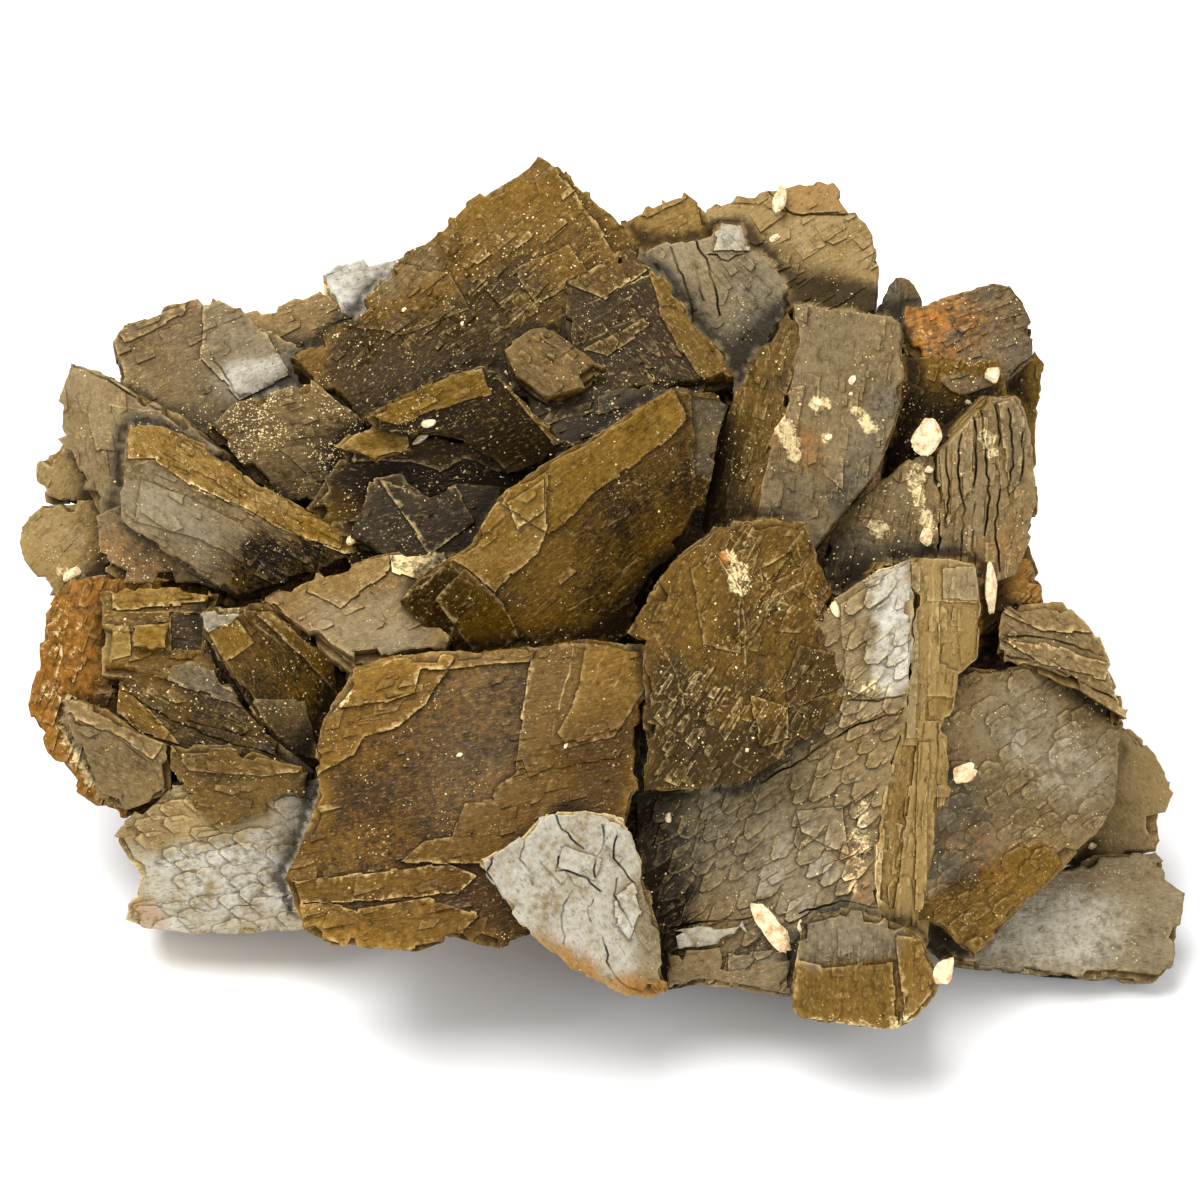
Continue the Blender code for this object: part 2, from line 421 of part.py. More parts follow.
def right_crystals(cluster):
    """The pillar, the striated block and the plates down the right side."""
    cluster.crystal(
        "pillar_front", (24.0, 18.0, 15.0, 0.0, 0.15), (0.0, -3.0, -9.0),
        [(19.3, 29.7), (21.2, 29.5), (25.0, 28.9), (29.2, 28.4), (30.0, 27.7),
         (30.4, 23.6), (30.3, 20.4), (28.9, 15.6), (27.6, 12.8), (24.7, 9.2), (21.9, 5.7),
         (19.0, 2.0), (16.0, 2.0), (16.1, 8.0), (16.8, 12.1), (17.7, 16.6), (19.0, 18.5),
         (19.6, 21.7), (20.4, 26.1)],
        ledges=[((24.0, 3.0), (25.6, 30.0), 0.5), ((16.0, 16.0), (30.0, 14.0), 0.4)])
    cluster.crystal(
        "pillar_side", (20.6, 26.1, 16.0, 0.9, -0.075), (3.0, -3.0, -7.0),
        [(19.5, 29.7), (16.8, 26.1), (14.5, 23.6), (13.6, 21.0), (11.7, 15.9), (10.4, 10.2),
         (10.1, 7.0), (12.0, 2.0), (16.0, 2.0), (16.3, 8.0), (17.0, 12.1), (17.9, 16.6),
         (19.2, 18.5), (19.8, 21.7), (20.6, 26.1)],
        ledges=[((13.0, 4.0), (16.6, 27.0), 0.4)])
    cluster.crystal(
        "brown_block", BROWN_BLOCK_FACE, (-0.5, -2.0, -9.0),
        [(30.5, 29.3), (33.0, 30.0), (35.6, 30.9), (39.2, 32.0), (40.7, 31.7),
         (42.3, 29.7), (43.5, 27.6), (43.5, 24.6), (40.7, 22.0), (38.4, 21.0), (35.9, 20.4),
         (33.7, 22.0), (31.1, 24.9), (30.3, 27.1)],
        layers=3,
        ledges=[((30.0, 27.8), (43.0, 27.2), 0.6), ((36.0, 20.0), (37.6, 32.0), 0.5)])
    cluster.crystal(
        "cavity_wall", (35.0, 18.0, -1.5, 0.0, 0.0), (0.0, -5.0, -8.0),
        [(28.0, 25.0), (40.0, 24.0), (42.0, 15.0), (36.0, 10.0), (28.0, 9.0)], layers=1)
    cluster.crystal(
        "striated_left", STRIATED_LEFT_FACE, (2.0, 0.0, -9.0),
        [(22.2, 4.1), (22.5, 1.9), (23.8, -1.0), (33.0, -1.0), (33.9, 5.0), (34.0, 10.0),
         (33.7, 14.7), (30.5, 14.0), (27.6, 11.5), (24.7, 9.2), (22.8, 6.7)],
        ledges=[((29.0, -1.0), (30.5, 15.0), 0.5)])
    cluster.crystal(
        "striated_right", (33.7, 10.0, 13.2, -0.8, 0.0), (-3.0, 1.0, -8.0),
        [(33.7, 14.9), (35.3, 16.3), (37.5, 18.8), (39.1, 20.4), (41.6, 20.4), (42.6, 19.5),
         (43.4, 15.3), (43.8, 10.0), (43.0, 6.0), (41.5, 2.5), (37.5, 1.0), (33.0, -1.0),
         (33.7, 5.0)],
        layers=3,
        ledges=[((37.6, 0.0), (38.0, 20.0), 0.5), ((40.6, 0.0), (41.0, 21.0), 0.4)])
    cluster.crystal(
        "right_back_fin", (42.0, 12.0, -3.0, 0.0, 0.0), (-1.0, -2.0, -5.0),
        [(43.5, 25.0), (44.4, 23.6), (44.3, 21.7), (43.9, 19.1), (43.5, 16.9), (43.8, 10.2),
         (43.7, 8.3), (42.7, 6.5), (43.4, 4.1), (44.3, 1.3), (44.0, -3.0), (36.0, -4.0),
         (37.0, 24.0)], layers=2)
    cluster.crystal(
        "right_plates", (46.0, -4.5, 11.5, -0.2, -0.7), (0.0, -1.0, -7.0),
        [(39.6, -5.2), (40.1, -1.4), (40.7, -0.5), (44.5, 0.0), (46.4, 0.0), (47.4, -1.1),
         (50.0, -3.7), (51.2, -6.8), (52.7, -10.0), (52.7, -11.9), (47.7, -8.8),
         (45.2, -7.8), (40.4, -6.2)],
        layers=3,
        ledges=[((50.0, -6.0), (40.0, -3.6), 0.6)])
    cluster.crystal(
        "right_large", RIGHT_LARGE_FACE, (-0.5, 0.0, -9.0),
        [(35.0, -7.5), (40.1, -7.8), (42.6, -7.5), (48.3, -9.1), (51.9, -11.3),
         (52.5, -12.3), (51.5, -20.2), (50.3, -22.5), (47.4, -26.0), (42.6, -30.8),
         (37.5, -36.0), (36.2, -34.9), (34.3, -32.7), (31.0, -32.0), (31.0, -10.0)],
        layers=3,
        ledges=[((50.0, -24.0), (34.0, -20.5), 0.5), ((36.0, -34.0), (46.5, -22.0), 0.4)])
    cluster.crystal(
        "right_matrix", (41.0, 1.0, 6.0, -0.3, 0.0), (0.0, -3.0, -8.0),
        [(36.0, 4.0), (43.2, 4.1), (44.1, 1.3), (44.8, -1.5), (41.0, -4.0), (36.0, -5.0)],
        layers=1)
    cluster.crystal(
        "right_edge_fin", (53.0, -18.0, 1.0, 0.1, 0.0), (-2.0, 0.0, -5.0),
        [(52.5, -11.9), (55.0, -14.3), (56.6, -16.7), (57.7, -18.0), (57.4, -19.3),
         (56.5, -21.2), (56.3, -22.8), (56.5, -24.1), (56.0, -25.2), (48.0, -27.0),
         (44.0, -20.0), (45.0, -10.0)], layers=2)
    cluster.crystal(
        "bottom_right_slab", (48.0, -32.0, 6.5, -0.1, -0.3), (-0.5, -0.8, -3.0),
        [(47.7, -26.3), (49.6, -25.3), (55.7, -24.9), (56.6, -26.0), (56.5, -27.9),
         (58.5, -29.3), (58.2, -31.7), (57.4, -36.5), (56.3, -37.8), (55.7, -38.2),
         (50.0, -37.8), (43.9, -37.3), (35.3, -36.3), (33.5, -33.0), (38.0, -24.0)],
        layers=2,
        ledges=[((57.0, -34.0), (36.0, -31.5), 0.4)])


# Middles of the blades round the back: x, y and height above the cut base
BACK_BLADES = [(39.0, 8.0, 11.0), (32.0, 24.0, 23.0), (29.0, 25.0, 9.5), (22.0, 33.0, 27.0),
               (13.0, 32.0, 13.0), (5.0, 37.0, 28.0), (-5.0, 33.0, 12.0), (-13.0, 36.0, 25.0),
               (-23.0, 31.0, 11.0), (-30.0, 31.0, 24.0), (-38.0, 20.0, 10.0),
               (-44.0, 14.0, 22.0), (-46.0, -2.0, 13.0)]
BACK_BLADE_DEPTH = 22.0
FLOOR_CLEARANCE = 0.8


def back_blades(cluster):
    """Blades round the back, broad faces outwards, where the cluster broke off its vein."""
    chance = random.Random(SEED + 1)
    for number, (x, y, height) in enumerate(BACK_BLADES):
        outwards = Vector((x, y - 4.0, 24.0 * chance.uniform(0.1, 0.9))).normalized()
        across = outwards.cross(Vector((0.0, 0.0, 1.0))).normalized()
        across = (across + outwards * chance.uniform(-0.45, 0.45)).normalized()
        outwards = (outwards - across * outwards.dot(across)).normalized()
        upwards = across.cross(outwards).normalized()
        half_width, half_height = chance.uniform(8.5, 11.0), chance.uniform(7.0, 8.5)
        lean = chance.choice((-1.0, 1.0)) * chance.uniform(0.15, 0.4)
        corners = [(-1.0 - lean, -0.9), (0.1, -1.1), (1.0 - lean, -0.8), (1.0 + lean, 0.9),
                   (0.0, 1.05), (-1.0 + lean, 0.8)]
        middle = Vector((x, y, height))
        face = [middle + across * (a * half_width) + upwards * (b * half_height)
                for a, b in corners]
        for layer in range(2):
            near, far = (0.0, 0.6) if layer == 0 else (0.5, 1.0)
            rim = [middle + (point - middle) * (1.0 - 0.06 * layer) for point in face]
            points = [point - outwards * (near * BACK_BLADE_DEPTH) for point in rim]
            points += [point - outwards * (far * BACK_BLADE_DEPTH) for point in rim]
            lift = max(0.0, FLOOR_CLEARANCE - min(point.z for point in points))
            points = [point + Vector((0.0, 0.0, lift + 0.05 * layer)) for point in points]
            make_object(f"back_blade_{number}_{layer}", points, prism_faces(len(corners)),
                        cluster.collection)


# ---------------------------------------------------------------- matrix

# Rim of the matrix on the drawing plane, where the crystals stand on it
CORE_OUTLINE = [(-46.0, 14.0), (-38.0, 24.0), (-22.0, 27.0), (-6.0, 33.0), (8.0, 31.0),
                (20.0, 28.0), (29.0, 22.0), (40.0, 19.0), (41.0, 4.0), (49.0, -12.0),
                (46.0, -22.0), (30.0, -25.0), (8.0, -28.0), (-14.0, -26.0), (-32.0, -24.0),
                (-45.0, -17.0), (-50.0, -4.0)]
CORE_FACE = (0.0, 0.0, -1.0, 0.0, -0.3)
CORE_MIDDLE = Vector((0.0, 4.0, 0.0))


def matrix_core(collection):
    """Lump of broken matrix that carries every crystal, cut flat at z = 0."""
    chance = random.Random(SEED + 3)
    rim = [seen_at(u, v, depth_on(CORE_FACE, u, v)) for u, v in CORE_OUTLINE]
    rings = [rim]
    for spread, level in ((0.97, 0.6), (0.90, 0.28), (0.80, 0.0)):
        ring = []
        for point in rim:
            bulge = spread + chance.uniform(-0.03, 0.03)
            flat = CORE_MIDDLE + (Vector((point.x, point.y, 0.0)) - CORE_MIDDLE) * bulge
            ring.append(Vector((flat.x, flat.y, point.z * level)))
        rings.append(ring)
    count = len(rim)
    faces = [tuple(range(count)), tuple(range(3 * count, 4 * count))]
    for low in range(0, 3 * count, count):
        for index in range(count):
            after = (index + 1) % count
            faces.append((low + index, low + after, low + count + after))
            faces.append((low + index, low + count + after, low + count + index))
    points = [point for ring in rings for point in ring]
    return make_object("siderite_cluster", points, faces, collection)


def fuse(core, collection):
    union = core.modifiers.new("fuse_crystals", 'BOOLEAN')
    union.operation = 'UNION'
    union.operand_type = 'COLLECTION'
    union.collection = collection
    union.solver = 'EXACT'


def siderite_cluster():
    helpers = bpy.data.collections.new("crystal_helpers")
    bpy.context.scene.collection.children.link(helpers)
    cluster = Cluster(helpers)
    front_crystals(cluster)
    middle_crystals(cluster)
    left_crystals(cluster)
    back_crystals(cluster)
    right_crystals(cluster)
    back_blades(cluster)
    for helper in helpers.objects:
        helper.hide_render = True
        helper.display_type = 'WIRE'
    core = matrix_core(bpy.context.scene.collection)
    core.data.materials.append(principled(*SIDERITE))
    fuse(core, helpers)


def cream_grain(name, face, place, size, turn, lift, chance):
    """Small lump of cream carbonate, `lift` mm above a crystal face."""
    sides = 7
    rings = []
    for scale, height in ((0.72, 0.0), (1.0, 0.35), (0.9, 0.75), (0.5, 1.0)):
        ring = []
        for side in range(sides):
            angle = 2.0 * math.pi * side / sides
            reach = 0.5 * scale * (0.85 + 0.15 * math.cos(3.0 * angle + size[0]))
            along = reach * size[0] * math.cos(angle)
            across = reach * size[1] * math.sin(angle)
            u = place[0] + along * math.cos(turn) - across * math.sin(turn)
            v = place[1] + along * math.sin(turn) + across * math.cos(turn)
            depth = depth_on(face, u, v) + lift + height * GRAIN_THICKNESS
            ring.append(seen_at(u, v, depth + chance.uniform(0.0, 0.12) * height))
        rings.append(ring)
    faces = [tuple(range(sides)), tuple(range(3 * sides, 4 * sides))]
    for ring in range(3):
        for side in range(sides):
            after = (side + 1) % sides
            low, high = ring * sides, (ring + 1) * sides
            faces.append((low + side, low + after, high + after, high + side))
    points = [point for ring in rings for point in ring]
    grain = make_object(name, points, faces, bpy.context.scene.collection)
    grain.data.materials.append(bpy.data.materials[CREAM_CARBONATE[0]])


def cream_grains():
    """The larger carbonate grains: name, face under it, (u, v), (length, width), turn, lift."""
    principled(*CREAM_CARBONATE)
    chance = random.Random(SEED + 2)
    open_face = (32.8, 16.2, 13.6, 0.0, 0.0)
    edge_face = (38.9, 1.2, 10.4, -0.8, 0.0)
    grains = [
        ("cream_grain_front", FRONT_SCALY_FACE, (16.9, -32.6), (5.8, 2.0), -50.0, 1.1),
        ("cream_grain_side", RIGHT_LARGE_FACE, (36.4, -17.2), (2.3, 2.0), 20.0, 1.0),
        ("cream_grain_heel", FOOT_FACE, (34.3, -37.2), (3.0, 2.0), 70.0, 0.9),
        ("cream_grain_cavity", open_face, (32.8, 16.3), (3.5, 3.1), 60.0, 0.0),
        ("cream_grain_edge", edge_face, (39.1, 1.2), (5.0, 1.2), 92.0, 0.0),
        ("cream_grain_top", BACK_RIGHT_FACE, (18.1, 40.2), (2.8, 1.3), 75.0, 1.2),
        ("cream_grain_orange", BROWN_BLOCK_FACE, (39.3, 22.6), (1.8, 1.4), 60.0, 1.0),
        ("cream_grain_block", STRIATED_LEFT_FACE, (32.6, 6.3), (1.8, 1.3), 80.0, 0.9)]
    for name, face, place, size, turn, lift in grains:
        cream_grain(name, face, place, size, math.radians(turn), lift, chance)


clear_scene()
siderite_cluster()
cream_grains()
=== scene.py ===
import math
import random

import bpy
import numpy as np
from mathutils import Matrix, Vector
from mathutils.geometry import delaunay_2d_cdt, tessellate_polygon
from mathutils.kdtree import KDTree


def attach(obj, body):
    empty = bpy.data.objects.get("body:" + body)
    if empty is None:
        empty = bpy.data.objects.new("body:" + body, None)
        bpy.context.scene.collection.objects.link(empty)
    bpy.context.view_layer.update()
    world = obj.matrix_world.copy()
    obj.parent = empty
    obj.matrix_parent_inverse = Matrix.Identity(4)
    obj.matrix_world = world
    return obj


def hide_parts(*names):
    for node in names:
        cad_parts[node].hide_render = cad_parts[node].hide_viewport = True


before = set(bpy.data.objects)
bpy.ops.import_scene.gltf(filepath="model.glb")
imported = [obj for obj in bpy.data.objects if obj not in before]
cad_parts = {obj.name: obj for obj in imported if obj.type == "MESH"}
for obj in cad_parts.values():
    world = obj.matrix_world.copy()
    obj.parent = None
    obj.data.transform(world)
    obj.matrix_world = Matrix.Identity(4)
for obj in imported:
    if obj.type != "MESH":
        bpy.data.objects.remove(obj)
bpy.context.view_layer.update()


# ---------------------------------------------------------------------------------------------
# Where the specimen is looked at from. The cluster rests on its cut base, and is seen from
# well above its front edge. Its crystals are laid out on the plane that the eye looks at square
# on: u runs right, v runs up and depth runs towards the eye, all in millimetres.
# ---------------------------------------------------------------------------------------------

MM = 0.001
VIEW_TILT = math.radians(42.0)
EYE_DISTANCE = 600.0
VIEW_CENTRE = np.array((0.37, 1.70, 26.0))
RIGHT = np.array((1.0, 0.0, 0.0))
UP = np.array((0.0, math.sin(VIEW_TILT), math.cos(VIEW_TILT)))
OUT = np.array((0.0, -math.cos(VIEW_TILT), math.sin(VIEW_TILT)))
PICTURE_WIDTH = 120.0
SENSOR_WIDTH = 36.0


def seen_at(u, v, depth):
    """Points, in mm, seen at (u, v) on the drawing plane and `depth` in front of it."""
    shrink = 1.0 / (1.0 + depth / EYE_DISTANCE)
    flat = np.outer(u, RIGHT) + np.outer(v, UP) + np.outer(depth, OUT)
    return VIEW_CENTRE + flat * np.reshape(shrink, (-1, 1))


def placed(name, data):
    """Adds an object to the scene."""
    thing = bpy.data.objects.new(name, data)
    bpy.context.scene.collection.objects.link(thing)
    return thing


camera_data = bpy.data.cameras.new("specimen_camera")
camera_data.sensor_width = SENSOR_WIDTH
camera_data.lens = SENSOR_WIDTH * EYE_DISTANCE / PICTURE_WIDTH
camera_data.clip_start = 0.01
camera_data.clip_end = 20.0
camera = placed("specimen_camera", camera_data)
turned = Matrix((RIGHT, UP, OUT)).transposed().to_4x4()
turned.translation = Vector(VIEW_CENTRE + OUT * EYE_DISTANCE) * MM
camera.matrix_world = turned
bpy.context.scene.camera = camera


# ---------------------------------------------------------------------------------------------
# The studio. A sheet of matt white card lies under the specimen and runs out of sight on every
# side. A broad soft light hangs above it and a little to the left, a weaker one stands at the
# front right, and a white room lights it from all round.
# ---------------------------------------------------------------------------------------------

def linear(hex_colour, alpha=1.0):
    """Linear colour of an sRGB hex value."""
    parts = [int(hex_colour[i:i + 2], 16) / 255.0 for i in (1, 3, 5)]
    bent = [p / 12.92 if p <= 0.04045 else ((p + 0.055) / 1.055) ** 2.4 for p in parts]
    return (*bent, alpha)


def add_node(tree, kind, links=(), **settings):
    """Adds a shader node, sets its sockets (or else properties) and links inputs to outputs."""
    node = tree.nodes.new(kind)
    for name, value in settings.items():
        socket = node.inputs.get(name.replace("_", " "))
        if socket is not None and name[0].isupper():
            socket.default_value = value
        else:
            setattr(node, name, value)
    for name, source in links:
        tree.links.new(source, node.inputs[name])
    return node


def new_material(name):
    """Material with an empty tree, and its output node."""
    material = bpy.data.materials.new(name)
    material.use_nodes = True
    material.node_tree.nodes.clear()
    return material, material.node_tree


CARD_HALF = 1.6
CARD_GAP = 0.0003
card_material, tree = new_material("matt_white_card")
card_place = add_node(tree, "ShaderNodeTexCoord")
card_fibre = add_node(tree, "ShaderNodeTexNoise", [("Vector", card_place.outputs["Object"])],
                      Scale=1400.0, Detail=4.0)
card_bump = add_node(tree, "ShaderNodeBump", [("Height", card_fibre.outputs["Fac"])],
                     Strength=0.06, Distance=0.0001)
card_shader = add_node(tree, "ShaderNodeBsdfPrincipled",
                       [("Normal", card_bump.outputs["Normal"])],
                       Base_Color=linear("#fafafa"), Roughness=0.85)
add_node(tree, "ShaderNodeOutputMaterial", [("Surface", card_shader.outputs["BSDF"])])
card_mesh = bpy.data.meshes.new("white_card")
card_mesh.from_pydata([(-CARD_HALF, -CARD_HALF, 0.0), (CARD_HALF, -CARD_HALF, 0.0),
                       (CARD_HALF, CARD_HALF, 0.0), (-CARD_HALF, CARD_HALF, 0.0)],
                      [], [(0, 1, 2, 3)])
card_mesh.materials.append(card_material)
card = placed("white_card", card_mesh)
card.location.z = -CARD_GAP


LIT_PLACE = (0.0, 0.0, 0.02)


def soft_light(name, place, size, power):
    """Square softbox that looks at the specimen: its side in metres, its power in watts."""
    data = bpy.data.lights.new(name, 'AREA')
    data.shape = 'SQUARE'
    data.size = size
    data.energy = power
    light = placed(name, data)
    light.location = place
    light.rotation_euler = (Vector(LIT_PLACE) - Vector(place)).to_track_quat('-Z', 'Y').to_euler()


soft_light("overhead_softbox", (-0.20, 0.00, 0.60), size=0.50, power=5.8)
soft_light("front_fill", (0.35, -0.60, 0.40), size=0.60, power=2.9)
room = bpy.data.worlds.new("white_room")
room.use_nodes = True
room_light = room.node_tree.nodes["Background"]
room_light.inputs["Color"].default_value = linear("#ffffff")
room_light.inputs["Strength"].default_value = 0.55
bpy.context.scene.world = room
bpy.context.scene.view_settings.view_transform = 'Standard'


# ---------------------------------------------------------------------------------------------
# Siderite. Iron carbonate, brown to amber and clear only at thin edges, with a satin to glassy
# lustre. Every crystal is a stack of lamellae split into small blocks, so its faces show fine
# cracks and ledges. Thin parts glow amber, some faces carry a painted grey and silver sheen, and
# rust and cream carbonate lie in patches. The lips of steps carry painted highlights, and their
# feet, the edges of lamellae and the hollows painted shade. Each crystal's mesh says how much of
# each there is at every point.
# ---------------------------------------------------------------------------------------------

# of the two attributes, the first holds how amber and rusty a point is, and how strong its painted
# grey sheen and the painted highlight on its lip are; the second holds its tone, how much cream
# carbonate is on it, and how dark cracks and the painted shade of step feet, lamella edges and
# hollows make it
siderite, tree = new_material("siderite_crystal")
crystal_place = add_node(tree, "ShaderNodeTexCoord").outputs["Object"]
tint_and_highlight = add_node(tree, "ShaderNodeAttribute", attribute_name="tint_and_highlight")
tint_and_highlight_parts = add_node(tree, "ShaderNodeSeparateColor", [("Color", tint_and_highlight.outputs["Color"])])
tone_cream_shade = add_node(tree, "ShaderNodeAttribute", attribute_name="tone_cream_shade")
tone_cream_shade_parts = add_node(tree, "ShaderNodeSeparateColor", [("Color", tone_cream_shade.outputs["Color"])])


def grain_noise(size_mm, detail=3.0, roughness=0.6):
    """Noise whose features are about size_mm across, in the material that is being made."""
    node = add_node(tree, "ShaderNodeTexNoise", [("Vector", crystal_place)],
                    Scale=1000.0 / size_mm, Detail=detail, Roughness=roughness)
    return node.outputs["Fac"]


def between(value, low, high):
    """Value stretched so that low becomes 0 and high becomes 1."""
    node = add_node(tree, "ShaderNodeMapRange", [("Value", value)], From_Min=low, From_Max=high)
    return node.outputs["Result"]


def calculated(operation, first, second):
    """Result of a maths node on two values, either of which may be a plain number."""
    node = tree.nodes.new("ShaderNodeMath")
    node.operation = operation
    for socket, value in zip(node.inputs, (first, second)):
        if isinstance(value, (int, float)):
            socket.default_value = value
        else:
            tree.links.new(value, socket)
    return node.outputs["Value"]


def laid_over(colour, hex_colour, amount):
    """Colour with another one mixed over it by an amount."""
    node = add_node(tree, "ShaderNodeMix", data_type='RGBA')
    tree.links.new(amount, node.inputs["Factor"])
    tree.links.new(colour, node.inputs["A"])
    node.inputs["B"].default_value = linear(hex_colour)
    return node.outputs["Result"]


def sum_of(*terms, base=0.0):
    """Sum of values, each given with its weight, on top of a base."""
    total = base
    for value, weight in terms:
        total = calculated('ADD', calculated('MULTIPLY', value, weight), total)
    return total


def colour_ramp(amount, *stops):
    """Colour picked by an amount from stops of (position, hex colour)."""
    ramp = add_node(tree, "ShaderNodeValToRGB", [("Fac", amount)])
    elements = ramp.color_ramp.elements
    while len(elements) < len(stops):
        elements.new(1.0)
    for element, (position, hex_colour) in zip(elements, stops):
        element.position = position
        element.color = linear(hex_colour)
    return ramp.outputs["Color"]


# the stone's own browns, dark to pale, then tints and painted sheen, highlights and shade
DEEP_BROWN, OLIVE_BROWN, PALE_TAN = "#120a01", "#745418", "#a88a50"
AMBER, GOLD_TAN, GREY_SHEEN, SILVER_SHEEN = "#624504", "#b08a3c", "#8c826a", "#d8d6cc"
RUST, LIP_HIGHLIGHT_AND_DASH, CREAM, CRACK_AND_SHADE, SPECK = "#a06822", "#ccb078", "#e2ca94", "#180f03", "#e6ca8a"

# sizes in mm: mottling of a whole face, its finer clouding, and the grain the eye just sees
mottle = grain_noise(4.0, 4.0)
fine_mottle = grain_noise(0.7, 3.0)
grit = grain_noise(0.22, 2.0)

# every point knows where it lies along the two cleavage directions, so that streaks can follow
# them; a little noise keeps the streaks from being ruler-straight
CLEAVAGE_WANDER = 0.9
cleavage = add_node(tree, "ShaderNodeAttribute", attribute_name="cleavage")
wander = add_node(tree, "ShaderNodeTexNoise", [("Vector", crystal_place)],
                  Scale=1000.0 / 2.6, Detail=2.0)
wander = add_node(tree, "ShaderNodeVectorMath", [(0, wander.outputs["Color"])],
                  operation='MULTIPLY')
wander.inputs[1].default_value = (CLEAVAGE_WANDER, CLEAVAGE_WANDER, 0.0)
cleavage = add_node(tree, "ShaderNodeVectorMath",
                    [(0, cleavage.outputs["Vector"]), (1, wander.outputs["Vector"])],
                    operation='ADD')


def streaks(along, aside, detail=3.0):
    """Noise drawn out along the cleavage: feature sizes in mm along and across it."""
    stretched = add_node(tree, "ShaderNodeVectorMath", [(0, cleavage.outputs["Vector"])],
                         operation='MULTIPLY')
    stretched.inputs[1].default_value = (1.0 / along, 1.0 / aside, 1.0)
    node = add_node(tree, "ShaderNodeTexNoise", [("Vector", stretched.outputs["Vector"])],
                    Scale=1.0, Detail=detail, Roughness=0.6)
    return node.outputs["Fac"]


# base brown: the tone that the mesh gives each point, painted highlights and shade included,
# broken up by all the patterns
lines = sum_of((streaks(2.6, 0.30), 0.6), (streaks(0.5, 1.6), 0.4))
depth_tone = sum_of((tone_cream_shade_parts.outputs["Red"], 1.4), (between(mottle, 0.3, 0.7), 0.40),
                    (between(lines, 0.3, 0.7), 0.30), (between(fine_mottle, 0.3, 0.7), 0.36),
                    (calculated('SUBTRACT', grit, 0.5), 1.0))
DARKEST_TONE, TONE_RANGE = 0.80, 1.0 / 0.62
shade = colour_ramp(between(depth_tone, DARKEST_TONE, DARKEST_TONE + TONE_RANGE),
                    (0.0, DEEP_BROWN), (0.56, OLIVE_BROWN), (1.0, PALE_TAN))

# amber where light gets through thin stone, turning gold where there is much of it
amber_share = calculated('MULTIPLY', tint_and_highlight_parts.outputs["Red"],
                         sum_of((between(lines, 0.3, 0.7), 0.35), base=0.55))
colour = laid_over(shade, AMBER, amber_share)
gold_share = calculated('MULTIPLY', between(tint_and_highlight_parts.outputs["Red"], 0.6, 2.4),
                        between(calculated('ADD', lines, fine_mottle), 0.80, 1.30))
colour = laid_over(colour, GOLD_TAN, gold_share)

# painted grey sheen, silvery where it is thickest, and rust
clouding = calculated('ADD', fine_mottle, mottle)
sheen_share = sum_of((between(clouding, 0.70, 1.15), 0.6), base=0.40)
colour = laid_over(colour, GREY_SHEEN,
                   calculated('MULTIPLY', tint_and_highlight_parts.outputs["Green"], sheen_share))
silver_sheen_share = calculated('MULTIPLY', between(tint_and_highlight_parts.outputs["Green"], 0.7, 1.6),
                          between(clouding, 0.75, 1.35))
colour = laid_over(colour, SILVER_SHEEN, silver_sheen_share)
rust_share = calculated('MULTIPLY', tint_and_highlight_parts.outputs["Blue"], between(fine_mottle, 0.3, 0.6))
colour = laid_over(colour, RUST, rust_share)

# painted highlights on step lips, and short pale and dark dashes the cleavage leaves on a face
lip_highlight_share = calculated('MULTIPLY', tint_and_highlight.outputs["Alpha"], between(fine_mottle, 0.38, 0.60))
colour = laid_over(colour, LIP_HIGHLIGHT_AND_DASH, lip_highlight_share)
dashes = streaks(0.55, 0.26)
colour = laid_over(colour, LIP_HIGHLIGHT_AND_DASH, calculated('MULTIPLY', between(dashes, 0.58, 0.70), 0.26))
colour = laid_over(colour, DEEP_BROWN, calculated('MULTIPLY', between(dashes, 0.43, 0.31), 0.50))

# crumbly cream carbonate in patches, and over everything dark cracks and the painted shade of
# step feet, lamella edges and hollows
crumbly = sum_of((fine_mottle, 0.6), (grit, 0.4))
cream_share = between(calculated('ADD', tone_cream_shade_parts.outputs["Green"], crumbly), 0.92, 1.10)
colour = laid_over(colour, CREAM, cream_share)
colour = laid_over(colour, CRACK_AND_SHADE, tone_cream_shade_parts.outputs["Blue"])


def speckled(colour, cell, size, spread, low, high):
    """Tiny pale carbonate specks in drifts: sizes in mm, sown where the noise is high."""
    dots = add_node(tree, "ShaderNodeTexVoronoi", [("Vector", crystal_place)],
                    Scale=1000.0 / cell, Randomness=1.0)
    share = calculated('MULTIPLY', between(dots.outputs["Distance"], size, 0.6 * size),
                       between(grain_noise(spread, 4.0), low, high))
    return laid_over(colour, SPECK, calculated('MULTIPLY', share, 0.9))


colour = speckled(colour, 0.62, 0.20, 5.0, 0.58, 0.70)
colour = speckled(colour, 0.36, 0.22, 2.6, 0.56, 0.66)

# satin on bare faces, duller where cream, cracks or painted shade lie on them; the relief too
# fine for the mesh is a bump of 0.3 mm
creamy_or_shaded = calculated('ADD', tone_cream_shade_parts.outputs["Green"], tone_cream_shade_parts.outputs["Blue"])
crystal_gloss = sum_of((fine_mottle, 0.25), (creamy_or_shaded, 0.3), base=0.24)
face_height = sum_of((lines, 0.55), (grit, 0.22), (fine_mottle, 0.5))
crystal_bump = add_node(tree, "ShaderNodeBump", [("Height", face_height)],
                        Strength=0.8, Distance=0.0003)
crystal_shader = add_node(tree, "ShaderNodeBsdfPrincipled",
                          [("Base Color", colour), ("Roughness", crystal_gloss),
                           ("Normal", crystal_bump.outputs["Normal"])],
                          IOR=1.6, Specular_IOR_Level=0.08)
add_node(tree, "ShaderNodeOutputMaterial", [("Surface", crystal_shader.outputs["BSDF"])])


